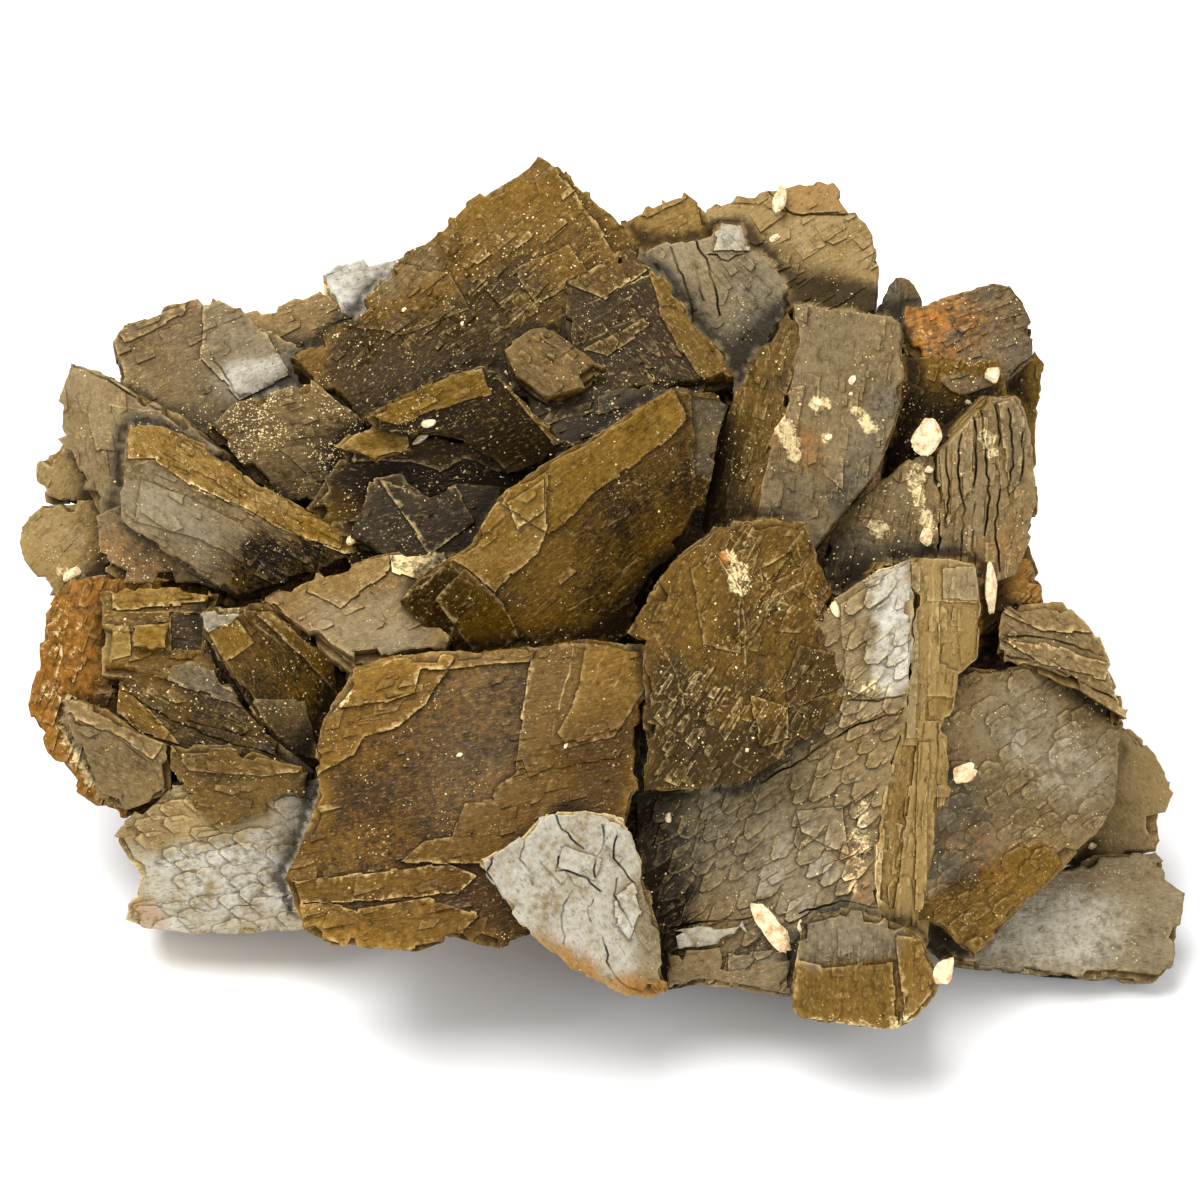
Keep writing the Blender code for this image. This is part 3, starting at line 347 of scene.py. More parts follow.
# large odd numbers that scramble the 32 bits of a whole number
COLUMN_FACTOR, ROW_FACTOR, SEED_FACTOR = 374761393, 668265263, 362437
FIRST_FACTOR, SECOND_FACTOR = 1274126177, 2246822519
LOW_32_BITS, LOW_16_BITS = 0xFFFFFFFF, 0xFFFF


def hashed(column, row, seed):
    """Random numbers between 0 and 1, one for each pair of whole numbers."""
    n = column.astype(np.int64) * COLUMN_FACTOR + np.asarray(row).astype(np.int64) * ROW_FACTOR
    n = (n + seed * SEED_FACTOR) & LOW_32_BITS
    n = ((n ^ (n >> 13)) * FIRST_FACTOR) & LOW_32_BITS
    n = ((n ^ (n >> 15)) * SECOND_FACTOR) & LOW_32_BITS
    return ((n ^ (n >> 16)) & LOW_16_BITS) / LOW_16_BITS


def drift(u, v, size, seed):
    """Smooth random field between -1 and 1 that changes over about `size` mm."""
    x, y = u / size, v / size
    left, low = np.floor(x), np.floor(y)
    across, rise = x - left, y - low
    across = across * across * (3.0 - 2.0 * across)
    rise = rise * rise * (3.0 - 2.0 * rise)
    bottom = hashed(left, low, seed) * (1.0 - across) + hashed(left + 1, low, seed) * across
    top = hashed(left, low + 1, seed) * (1.0 - across) + hashed(left + 1, low + 1, seed) * across
    return 2.0 * (bottom * (1.0 - rise) + top * rise) - 1.0


# points are tested against an outline in batches, which keeps the tables in memory small
BATCH = 4000
NEARLY_NOTHING = 1e-9


def inside(u, v, outline):
    """Which points lie inside an outline."""
    start, end = np.asarray(outline, float), np.roll(outline, -1, axis=0)
    rise = end[:, 1] - start[:, 1]
    rise = np.where(rise == 0.0, NEARLY_NOTHING, rise)
    slant = (end[:, 0] - start[:, 0]) / rise
    result = np.zeros(len(u), bool)
    for first in range(0, len(u), BATCH):
        batch = slice(first, first + BATCH)
        x, y = u[batch, None], v[batch, None]
        crosses = (start[:, 1] > y) != (end[:, 1] > y)
        result[batch] = np.sum(
            crosses & (x < slant * (y - start[:, 1]) + start[:, 0]), axis=1) % 2 == 1
    return result


def to_segment(u, v, start, end):
    """Distance in mm from points to a straight line between two places."""
    along = np.subtract(end, start)
    length = max(float(along @ along), NEARLY_NOTHING)
    share = np.clip(((u - start[0]) * along[0] + (v - start[1]) * along[1]) / length, 0.0, 1.0)
    return np.hypot(u - start[0] - share * along[0], v - start[1] - share * along[1])


def to_line(u, v, points):
    """Distance in mm from points to the nearest part of a line through given places."""
    start, along = np.asarray(points[:-1], float), np.diff(points, axis=0)
    length = np.maximum(np.sum(along * along, axis=1), NEARLY_NOTHING)
    nearest = np.zeros(len(u))
    for first in range(0, len(u), BATCH):
        batch = slice(first, first + BATCH)
        x, y = u[batch, None] - start[:, 0], v[batch, None] - start[:, 1]
        share = np.clip((x * along[:, 0] + y * along[:, 1]) / length, 0.0, 1.0)
        nearest[batch] = np.hypot(x - share * along[:, 0], y - share * along[:, 1]).min(axis=1)
    return nearest


class Rim:
    """Chipped outline of a face: a ring of points, and distances to it."""

    def __init__(self, points):
        self.points = points
        self.tree = KDTree(len(points))
        for index, point in enumerate(points):
            self.tree.insert((point[0], point[1], 0.0), index)
        self.tree.balance()

    def away(self, u, v):
        """Distance in mm from points to the nearest point of the rim."""
        return np.array([self.tree.find((x, y, 0.0))[2] for x, y in zip(u, v)])

    def holds(self, u, v, margin):
        """Which points lie inside the rim, at least a margin away from it."""
        keep = inside(u, v, self.points)
        keep[keep] = self.away(u[keep], v[keep]) > margin
        return keep


def turns_left(outline):
    """Whether an outline runs anticlockwise."""
    ahead = np.roll(outline, -1, axis=0)
    return np.sum(outline[:, 0] * ahead[:, 1] - outline[:, 1] * ahead[:, 0]) > 0.0


SHORTEST_RUN, LONGEST_RUN = 0.5, 2.4
CORNER_GAP = 0.03


def ragged(outline, outward, inward, chance):
    """Outline broken into short straight runs, each shifted a little, like a cleaved edge."""
    corners = np.array(outline, float)
    outside = 1.0 if turns_left(corners) else -1.0
    points = []
    for start, end in zip(corners, np.roll(corners, -1, axis=0)):
        run = end - start
        length = float(np.hypot(*run))
        normal = np.array((run[1], -run[0])) / max(length, NEARLY_NOTHING) * outside
        at = 0.0
        while at < length - 0.05:
            stretch = min(length - at, chance.uniform(SHORTEST_RUN, LONGEST_RUN))
            shift = outward - (outward + inward) * chance.random() ** 1.6
            for place in (at + CORNER_GAP, at + stretch - CORNER_GAP):
                points.append(start + run * (place / length) + normal * shift)
            at += stretch
    return np.array(points)


NOTCH_CHANCE, LONGEST_NOTCH = 0.08, 1.7


def chips(along, chip, seed):
    """How far, in mm, a cleaved edge is chipped back at places along its length.

    Most of it steps in and out by less than `chip`; here and there is a deeper notch."""
    chance = random.Random(seed)
    places, depths, at = [], [], 0.0
    while at < along[-1]:
        stretch = chance.uniform(0.4, 3.4)
        depth = chip * chance.random() ** 2.2
        if chance.random() < NOTCH_CHANCE:
            stretch, depth = min(stretch, LONGEST_NOTCH), depth + chance.uniform(0.3, 0.9)
        slant = min(0.3 * stretch, chance.uniform(0.03, 0.4))
        places += [at, at + stretch - slant]
        depths += [depth, max(0.0, depth + chance.uniform(-0.3, 0.3))]
        at += stretch
    return np.interp(along, places, depths) + 0.05 * drift(along, 0.0 * along, 0.4, seed)


def resampled(points, spacing, closed):
    """Line of points no further apart than the spacing."""
    ends = np.roll(points, -1, axis=0) if closed else points[1:]
    dense = []
    for start, end in zip(points, ends):
        steps = max(1, int(math.ceil(float(np.hypot(*(end - start))) / spacing)))
        dense += [start + (end - start) * (step / steps) for step in range(steps)]
    if not closed:
        dense.append(points[-1])
    return np.array(dense)


def beside(points, shift, closed):
    """Copy of a line of points, shifted to the right of the way it runs."""
    run = np.roll(points, -1, axis=0) - np.roll(points, 1, axis=0)
    if not closed:
        run[0], run[-1] = points[1] - points[0], points[-1] - points[-2]
    run /= np.maximum(np.hypot(run[:, 0], run[:, 1]), NEARLY_NOTHING)[:, None]
    return points + np.stack((run[:, 1], -run[:, 0]), axis=1) * shift


ZONE_KINDS = ("amber", "sheen", "rust", "tone", "cream")


def zone_amounts(u, v, look, seed):
    """How much amber, painted grey sheen, rust, tone and cream there is at each point of a face.

    A zone is (kind, strength, u, v, u, v, radius, softness): all that lies within a radius of a
    line, fading over the softness beyond it."""
    amounts = {kind: np.full(len(u), float(look.get(kind, 0.0))) for kind in ZONE_KINDS}
    sway = 0.9 * drift(u, v, 3.1, seed + 31) + 0.5 * drift(u, v, 1.1, seed + 32)
    for kind, strength, u0, v0, u1, v1, radius, softness in look.get("zones", ()):
        away = to_segment(u, v, (u0, v0), (u1, v1)) + sway * min(1.0, 0.5 * softness + 0.2)
        amounts[kind] += strength * np.clip(1.0 - (away - radius) / softness, 0.0, 1.0)
    return amounts


class Patch:
    """A step, flake or scale on a face: its outline, its height in mm and what covers it.

    `light` is how strong the painted highlight on its lip is, `foot` how dark the painted shadow
    along its foot. Of shingled patches that overlap, only the highest shows."""

    def __init__(self, outline, lift=0.0, slope=(0.0, 0.0), light=0.4, foot=0.5, shingled=False,
                 **amounts):
        self.outline = np.array(outline)
        self.middle = self.outline.mean(axis=0)
        self.lift, self.slope, self.light, self.foot = lift, slope, light, foot
        self.shingled, self.amounts = shingled, amounts


def cleavage_directions(look):
    """The two directions in which a face splits. A lattice is (angle, angle, length, width)."""
    return [np.array((math.cos(angle), math.sin(angle)))
            for angle in map(math.radians, look["lattice"][:2])]


def scale_patches(look, rim, chance):
    """Overlapping scales in rows along the cleavage, each lifted at its rounded lower edge."""
    length, width = look["lattice"][2:]
    first, second = cleavage_directions(look)
    reach = float(np.hypot(*(rim.max(axis=0) - rim.min(axis=0)))) * 0.7
    rows, columns = int(reach / width), int(reach / length)
    middle = rim.mean(axis=0)
    patches = []
    for row in range(-rows, rows + 1):
        slide = chance.random()
        for column in range(-columns, columns + 1):
            place = (middle + first * length * (column + slide + chance.uniform(-0.2, 0.2))
                     + second * width * (row + chance.uniform(-0.25, 0.25)))
            size = chance.uniform(0.75, 1.5)
            bulge, lean = chance.uniform(-0.05, 0.30), chance.uniform(-0.3, 0.3)
            rise, tint = chance.uniform(0.3, 1.0), chance.uniform(-0.5, 0.5)
            if chance.random() > look["scaly"]:
                continue
            if not inside(place[:1], place[1:], rim)[0]:
                continue
            shoulder = -0.44 - 0.5 * bulge
            shape = ((-0.5, 0.45), (-0.52, -0.25), (-0.34, shoulder), (lean, -0.5 - bulge),
                     (0.34, shoulder), (0.52, -0.25), (0.5, 0.5))
            outline = [place + first * (a * length * size) + second * (b * width * size)
                       for a, b in shape]
            step = look.get("scale_step", 0.35) * rise
            patches.append(Patch(ragged(outline, 0.05, 0.10, chance), 0.5 * step,
                                 -second * step / (width * size),
                                 look.get("scale_light", 0.3), look.get("scale_foot", 0.6),
                                 True, tone=0.22 * tint, sheen=0.25 * tint))
    return patches


FLAKE_CORNERS = ((-0.5, -0.5), (0.5, -0.5), (0.6, 0.1), (0.45, 0.5), (-0.5, 0.5))


def flake_patches(look, rim, chance):
    """Small cleavage flakes, each lifted along one edge.

    They lie all over a face, and closer in flake zones: (count, u, v, u, v, spread)."""
    first, second = cleavage_directions(look)
    low, high = rim.min(axis=0), rim.max(axis=0)
    area = float(np.prod(high - low))
    groups = [(int(look.get("flakes", 0.04) * area), None)]
    groups += [(count, zone) for count, *zone in look.get("flake_zones", ())]
    steepest = chance.choice((1.0, -1.0))
    patches = []
    for count, zone in groups:
        for number in range(count):
            if zone:
                u0, v0, u1, v1, spread = zone
                share = chance.random()
                place = np.array((u0 + share * (u1 - u0) + chance.gauss(0.0, spread),
                                  v0 + share * (v1 - v0) + chance.gauss(0.0, spread)))
            else:
                place = low + (high - low) * (chance.random(), chance.random())
            length = 0.5 * math.exp(chance.uniform(0.0, 1.9))
            width = length * chance.uniform(0.2, 0.7)
            step = chance.uniform(0.08, 0.30)
            side = steepest if chance.random() < 0.75 else -steepest
            tint = chance.uniform(-0.3, 0.3)
            corners = [(a + chance.uniform(-0.22, 0.22), b + chance.uniform(-0.18, 0.18))
                       for a, b in FLAKE_CORNERS]
            if not inside(place[:1], place[1:], rim)[0]:
                continue
            outline = [place + first * a * length + second * side * b * width for a, b in corners]
            patches.append(Patch(ragged(outline, 0.04, 0.12, chance), 0.5 * step,
                                 -second * side * step / width + first * chance.gauss(0.0, 0.05),
                                 look.get("flake_light", 0.35) * chance.random(), 0.30, True,
                                 tone=0.35 * tint, amber=0.25 * tint))
    return patches


def given_patches(look, chance):
    """The steps listed for a crystal."""
    return [Patch(ragged(outline, 0.1, 0.2, chance), lift, **settings)
            for outline, lift, settings in look.get("steps_up", ())]


def fold(u, v, look):
    """Drop, in mm, of the bevels: facets that slope away to the left of a line."""
    drop = np.zeros(len(u))
    for start, end, slope in look.get("bevels", ()):
        run = np.subtract(end, start)
        away = (run[0] * (v - start[1]) - run[1] * (u - start[0])) / math.hypot(*run)
        drop += slope * np.maximum(away, 0.0)
    return drop


def close_to(u, v, points, margin):
    """Indices of the places that lie in the box round some points, or within a margin of it."""
    low, high = points.min(axis=0) - margin, points.max(axis=0) + margin
    return np.flatnonzero((u > low[0]) & (u < high[0]) & (v > low[1]) & (v < high[1]))


# widths in mm: of a painted highlight on a lip or the painted shadow at its foot, of a crack or
# ridge, of the painted highlight on the rim of a face, and of the thin stone beside that rim which
# lets light through
LIP_WIDTH, LINE_WIDTH, RIM_WIDTH, THIN_WIDTH = 0.10, 0.10, 0.12, 1.6
# a shingled step this high has its full painted highlight and shadow; how wide and deep a rim is
# rounded
FULL_STEP = 0.12
ROUNDING_WIDTH, ROUNDING_DROP = 0.15, 0.12


def relief(u, v, rim, patches, lines, look, seed):
    """Height of a face above its plane in mm, and its colours and painted light, at every point.
    """
    wavy = look.get("wavy", 1.0)
    height = wavy * (0.10 * drift(u, v, 3.5, seed) + 0.03 * drift(u, v, 1.1, seed + 1))
    height -= fold(u, v, look)
    amounts = zone_amounts(u, v, look, seed)
    amounts["tone"] += 0.5 + 0.15 * drift(u, v, 5.0, seed + 2)
    rim_patchiness = np.clip(0.5 + 1.3 * drift(u, v, 4.0, seed + 72), 0.05, 1.0)
    cracks_and_shade, light, shingles = np.zeros(len(u)), np.zeros(len(u)), np.zeros(len(u))
    for patch in patches:
        near = close_to(u, v, patch.outline, 0.15)
        if not len(near):
            continue
        within = inside(u[near], v[near], patch.outline)
        away = to_line(u[near], v[near], np.vstack((patch.outline, patch.outline[:1])))
        rise = (patch.lift + patch.slope[0] * (u[near] - patch.middle[0])
                + patch.slope[1] * (v[near] - patch.middle[1]))
        if patch.shingled:
            rise = np.maximum(rise, 0.0)
            shingles[near] = np.where(within & (rise > shingles[near]), rise, shingles[near])
        else:
            height[near] += rise * within
        for kind, value in patch.amounts.items():
            amounts[kind][near] += value * within
        # the lip of a step gets a painted highlight and the line along its foot painted shadow
        brink, foot = (within, ~within) if patch.lift >= 0.0 else (~within, within)
        stands = np.clip(np.abs(rise) / FULL_STEP, 0.0, 1.0) if patch.shingled else 1.0
        beside_step = away < LIP_WIDTH
        light[near] = np.maximum(light[near], patch.light * stands * (brink & beside_step))
        cracks_and_shade[near] = np.maximum(cracks_and_shade[near], patch.foot * stands * (foot & beside_step))
    height += shingles
    # a crack line is drawn dark, a ridge gets a painted highlight
    for points, lift, strength in lines:
        near = close_to(u, v, points, 0.3)
        on_line = np.zeros(len(u))
        on_line[near] = np.clip(1.4 - to_line(u[near], v[near], points) / LINE_WIDTH, 0.0, 1.0)
        on_line *= 0.35 + 0.65 * np.clip(0.6 + drift(u, v, 1.6, seed + 5), 0.0, 1.0)
        height += lift * on_line
        if lift < 0.0:
            cracks_and_shade = np.maximum(cracks_and_shade, strength * on_line)
        else:
            light = np.maximum(light, strength * on_line)
    from_rim = rim.away(u, v)
    # the lips and the rim carry a painted highlight, patchy along the rim, which also lightens the
    # tone and adds cream
    light = light * (0.45 + 0.65 * rim_patchiness)
    rim_highlight = rim_patchiness * np.clip(1.6 - from_rim / RIM_WIDTH, 0.0, 1.0)
    light = np.maximum(light, look.get("rim", 0.3) * rim_highlight)
    thin_stone = rim_patchiness * np.clip(1.0 - from_rim / THIN_WIDTH, 0.0, 1.0)
    amounts["amber"] += look.get("thin", 0.3) * thin_stone
    amounts["tone"] += 0.3 * light
    amounts["cream"] += 0.3 * light
    amounts["lip_highlight"] = light
    amounts["cracks_and_shade"] = cracks_and_shade
    height -= ROUNDING_DROP * np.clip(1.0 - from_rim / ROUNDING_WIDTH, 0.0, 1.0)
    return height, amounts


def fill_outline(rim, inner_points, chains):
    """Triangles over an outline, points inside it and chains of points that stay edges."""
    coordinates = [Vector(p) for p in rim.points] + [Vector(p) for p in inner_points]
    edges, before = [], None
    joined = np.vstack(chains) if chains else np.zeros((0, 2))
    chain_of = np.repeat(np.arange(len(chains)), [len(chain) for chain in chains])
    keep = rim.holds(joined[:, 0], joined[:, 1], 0.2)
    for index in np.flatnonzero(keep):
        if before is not None and before == index - 1 and chain_of[before] == chain_of[index]:
            edges.append((len(coordinates) - 1, len(coordinates)))
        coordinates.append(Vector(joined[index]))
        before = index
    result = delaunay_2d_cdt(coordinates, edges, [list(range(len(rim.points)))], 1, 1e-5, True)
    made, origins = np.array([tuple(p) for p in result[0]]), result[3]
    place_of = {}
    for index, sources in enumerate(origins):
        for source in sources:
            place_of[source] = index
    # the notches of the rim get filled as well: those triangles are taken out again
    on_rim = np.array([min(sources, default=0) < len(rim.points) for sources in origins])
    triangles = np.array(result[2])
    keep = ~on_rim[triangles].all(axis=1)
    middles = made[triangles[~keep]].mean(axis=1)
    keep[~keep] = inside(middles[:, 0], middles[:, 1], rim.points)
    return made, triangles[keep].tolist(), place_of


def depth_on(face, u, v):
    """Depth of a face plane at points on the drawing plane."""
    return face[2] + face[3] * (u - face[0]) + face[4] * (v - face[1])


# rows of a grid of even triangles are this share of its spacing apart
ROW_STEP = 0.87


def grid_inside(rim, spacing, margin, seed):
    """Staggered, slightly shaken points inside a rim, at least `margin` mm from its edge."""
    low, high = rim.points.min(axis=0), rim.points.max(axis=0)
    u, v = np.meshgrid(np.arange(low[0], high[0], spacing),
                       np.arange(low[1], high[1], spacing * ROW_STEP))
    rows = np.arange(u.shape[0])[:, None]
    u = (u + 0.5 * spacing * (rows % 2)).ravel()
    v = v.ravel()
    shaken = np.random.default_rng(seed)
    u = u + shaken.uniform(-0.2, 0.2, len(u)) * spacing
    v = v + shaken.uniform(-0.2, 0.2, len(v)) * spacing
    keep = rim.holds(u, v, margin)
    return u[keep], v[keep]


# spacing in mm of the mesh inside a face and along edges; half the width of the wall of a step;
# half the width of a crack; the thickness of a lamella; how far the edges start below the face
FACE_SPACING = 0.60
BORDER_SPACING = 0.38
WALL_HALF, CRACK_HALF = 0.045, 0.14
LAMELLA = 0.85
EDGE_DROP = 0.35
pieces = {}


class Flat:
    """A plain layout plane: a middle point and its three axes, without the eye's perspective."""

    def __init__(self, middle, axes):
        self.middle, self.axes = middle, axes

    def points(self, u, v, depth):
        """Points, in mm, at places on the plane and depths in front of it."""
        return self.middle + np.stack((u, v, depth), axis=1) @ self.axes

    def shift(self, vector):
        """A shift given along the plane's axes, as a shift in the room."""
        return np.asarray(vector) @ self.axes


class Drawing(Flat):
    """The drawing plane that the crystals of the front are laid out on, seen in perspective."""

    def points(self, u, v, depth):
        """Points, in mm, seen at places on the drawing plane."""
        return seen_at(u, v, depth)


drawing_plane = Drawing(VIEW_CENTRE, np.array((RIGHT, UP, OUT)))


def crack_lines(look, chance):
    """The cracks and ridges listed for a crystal, each bent a little: (points, lift, strength)."""
    lines = []
    for points, lift, strength in look.get("lines", ()):
        bent = resampled(np.array(points, float), 0.9, False)
        shaken = np.array([(chance.uniform(-0.16, 0.16), chance.uniform(-0.16, 0.16))
                           for point in bent])
        lines.append((bent + shaken, lift, strength))
    return lines


def crisp_chains(patches, lines, look, spacing):
    """Chains of points that have to stay edges: both sides of every step and crack, and folds."""
    chains = []
    for patch in patches:
        border = resampled(patch.outline, spacing, True)
        border = np.vstack((border, border[:1]))
        chains += [beside(border, WALL_HALF, False), beside(border, -WALL_HALF, False)]
    for points, lift, strength in lines:
        line = resampled(points, spacing, False)
        chains += [line, beside(line, CRACK_HALF, False), beside(line, -CRACK_HALF, False)]
    for start, end, slope in look.get("bevels", ()):
        chains.append(resampled(np.array((start, end), float), spacing, False))
    return chains


# the brink of a lamella takes this share of its height, and each one ends this far inside the
# one above it
BRINK_SHARE = 0.12
TAPER = 0.16


def lamella_rings(rim, smooth_rim, normals, layout, face, backwards, rows, look, along, seed):
    """Rings of points down the edges, two for each lamella, set in or out from the one above."""
    rings = []
    for row in range(1, 2 * rows + 1):
        share = min((row // 2 + (BRINK_SHARE if row % 2 else 0.0)) / rows, 1.0)
        level = (row - 1) // 2
        place = rim
        if level:
            set_in = chips(along, 0.7 * look.get("chip", 1.1), seed + 40 + level)
            place = smooth_rim + normals * (set_in + TAPER * (level - 1))[:, None]
        u, v = place.T
        depth = depth_on(face, u, v) - EDGE_DROP - fold(u, v, look)
        rings.append(layout.points(u, v, depth) + layout.shift(backwards) * share)
    return rings


def wrapped_quads(upper, lower):
    """Four-sided faces between two closed rings of vertex numbers."""
    count = len(upper)
    return [(upper[index], lower[index], lower[(index + 1) % count], upper[(index + 1) % count])
            for index in range(count)]


def new_mesh(name, points, faces, material):
    """Mesh of one material, from points in mm."""
    mesh = bpy.data.meshes.new(name)
    mesh.from_pydata([tuple(point) for point in points * MM], [], faces)
    mesh.materials.append(material)
    mesh.update()
    return mesh


def crystal(name, face, back, outline, look):
    """One crystal laid out on the drawing plane.

    What a look says, in mm and degrees, with heights counted from the face plane:
    lattice: the two cleavage directions, and the length and width of a scale
    amber, bloom, rust, tone, cream: how much of each is all over the face, the second painted
    sheen
    thin, rim: how amber the thin stone at the rim is, and how strong the rim's painted highlight
    is
    chip, wavy: how deep the outline is chipped, and how wavy the face is
    flakes, flake_light, flake_zones: flakes on a square mm, their painted highlight, where more
    lie scaly, scale_step, scale_light, scale_foot: share, height, painted lip highlight and foot
    shadow of scales
    steps_up: steps, each an outline, a height and the settings of its Patch
    lines: ridges and cracks, each its points, a height (below 0 for a crack) and a strength
    bevels: facets, each the two ends of the line it begins at and its slope
    zones: where there is more or less of something, as zone_amounts describes it
    coarse: how many times coarser than usual the mesh is"""
    plate(name, drawing_plane, face, back, outline, look)


def plate(name, layout, face, back, outline, look):
    """One crystal: a split and stepped broad face, edges of stacked lamellae, and a plain back.

    `face` is the plane of the broad face as (u, v, depth, slope_u, slope_v), `back` is the way
    the crystal grows back from it, and a `look` with `coarse` above 1 has a coarser mesh."""
    seed = 1000 + 17 * len(pieces)
    chance = random.Random(seed)
    coarse = look.get("coarse", 1.0)
    spacing = coarse * BORDER_SPACING
    smooth_rim = resampled(np.array(outline, float), spacing, True)
    normals = smooth_rim - beside(smooth_rim, 1.0, True)
    if not turns_left(smooth_rim):
        normals = -normals
    along = np.cumsum(np.hypot(*(smooth_rim - np.roll(smooth_rim, 1, axis=0)).T))
    rim = smooth_rim + normals * chips(along, look.get("chip", 1.1), seed + 40)[:, None]
    patches = given_patches(look, chance) + flake_patches(look, rim, chance)
    if "scaly" in look:
        patches += scale_patches(look, rim, chance)
    lines = crack_lines(look, chance)
    edge = Rim(rim)
    inner_rim = np.vstack((beside(rim, 0.16, True), beside(rim, -0.16, True)))
    inner_rim = inner_rim[edge.holds(inner_rim[:, 0], inner_rim[:, 1], 0.12)]
    grid = np.stack(grid_inside(edge, coarse * FACE_SPACING, 0.3, seed), axis=1)
    flat, triangles, place_of = fill_outline(edge, np.vstack((grid, inner_rim)),
                                             crisp_chains(patches, lines, look, spacing))
    u, v = flat.T
    height, amounts = relief(u, v, edge, patches, lines, look, seed)
    top = layout.points(u, v, depth_on(face, u, v) + height)

    thickness = float(np.linalg.norm(back))
    rows = max(3, int(round(thickness / (coarse * LAMELLA))))
    rings = lamella_rings(rim, smooth_rim, normals, layout, face, back, rows, look, along, seed)
    head, count = len(top), len(rim)
    around = [place_of[index] for index in range(count)]
    faces = [tuple(t) for t in triangles]
    upper = around
    for level in range(len(rings)):
        lower = list(range(head + level * count, head + (level + 1) * count))
        faces += wrapped_quads(upper, lower)
        upper = lower
    cap = np.array(tessellate_polygon([[Vector((p[0], p[1], 0.0)) for p in rim]]))
    cap_middles = rim[cap].mean(axis=1)
    for triangle in cap[inside(cap_middles[:, 0], cap_middles[:, 1], rim)]:
        faces.append(tuple(upper[i] for i in triangle))
    vertices = np.vstack([top] + rings)
    mesh = new_mesh(name, vertices, faces, siderite)

    # what colours every point: the broad face first, then the edges, which take after its rim; on
    # the edges the brink of each lamella gets a painted highlight and the row below it painted
    # shadow, and they get darker and less amber further back
    tint_and_highlight_values = np.zeros((len(vertices), 4))
    tone_cream_shade_values = np.zeros((len(vertices), 4))
    for channel, kind in enumerate(("amber", "sheen", "rust", "lip_highlight")):
        tint_and_highlight_values[:head, channel] = amounts[kind]
    for channel, kind in enumerate(("tone", "cream", "cracks_and_shade")):
        tone_cream_shade_values[:head, channel] = amounts[kind]
    tone_cream_shade_values[:, 3] = 1.0
    first, second = (math.radians(angle) for angle in look["lattice"][:2])
    skew = math.sin(second - first)
    cleavage_values = np.full((len(vertices), 3), 3.7 * seed)
    cleavage_values[:head, 0] = (u * math.sin(second) - v * math.cos(second)) / skew
    cleavage_values[:head, 1] = (v * math.cos(first) - u * math.sin(first)) / skew
    girth = np.cumsum(np.hypot(*(rim - np.roll(rim, 1, axis=0)).T))
    amber, sheen, rust = tint_and_highlight_values[around, :3].T
    tone = tone_cream_shade_values[around, 0]
    for level in range(len(rings)):
        part = slice(head + level * count, head + (level + 1) * count)
        fade = 1.0 - 0.5 * level / len(rings)
        brink = level % 2 == 0
        tint_and_highlight_values[part, 0] = amber * fade
        tint_and_highlight_values[part, 1] = 0.4 * sheen
        tint_and_highlight_values[part, 2] = rust
        tint_and_highlight_values[part, 3] = 0.3 * brink
        tone_cream_shade_values[part, 0] = tone * fade + 0.2 * brink
        tone_cream_shade_values[part, 1] = 0.5 * sheen
        tone_cream_shade_values[part, 2] = 0.0 if brink else 0.6
        cleavage_values[part, 0] = 0.4 * girth
        cleavage_values[part, 1] = 0.5 * thickness * (level + 1) / len(rings)
    layer = mesh.attributes.new("cleavage", 'FLOAT_VECTOR', 'POINT')
    layer.data.foreach_set("vector", cleavage_values.astype(np.float32).ravel())
    for label, values in (("tint_and_highlight", tint_and_highlight_values), ("tone_cream_shade", tone_cream_shade_values)):
        layer = mesh.color_attributes.new(label, 'FLOAT_COLOR', 'POINT')
        layer.data.foreach_set("color", np.clip(values, 0.0, 2.0).astype(np.float32).ravel())
    piece = placed(name, mesh)
    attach(piece, "root")
    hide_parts("siderite_cluster")
    pieces[name] = piece


# ---------------------------------------------------------------------------------------------
# The large crystals along the front, which overhang the base: a dark rhomb, a grey scaly plate,
# an olive scaly blade with a layered amber edge, the foot under it and a rough dark crystal.
# Each is given as a face plane (u, v, depth, slope_u, slope_v), the way it grows back, and the
# outline of its broad face, all in millimetres on the drawing plane.
# ---------------------------------------------------------------------------------------------

FRONT_SCALY_FACE = (17.0, -19.0, 21.0, 0.25, 0.1)
FOOT_FACE = (26.0, -37.0, 24.0, 0.0, 0.2)

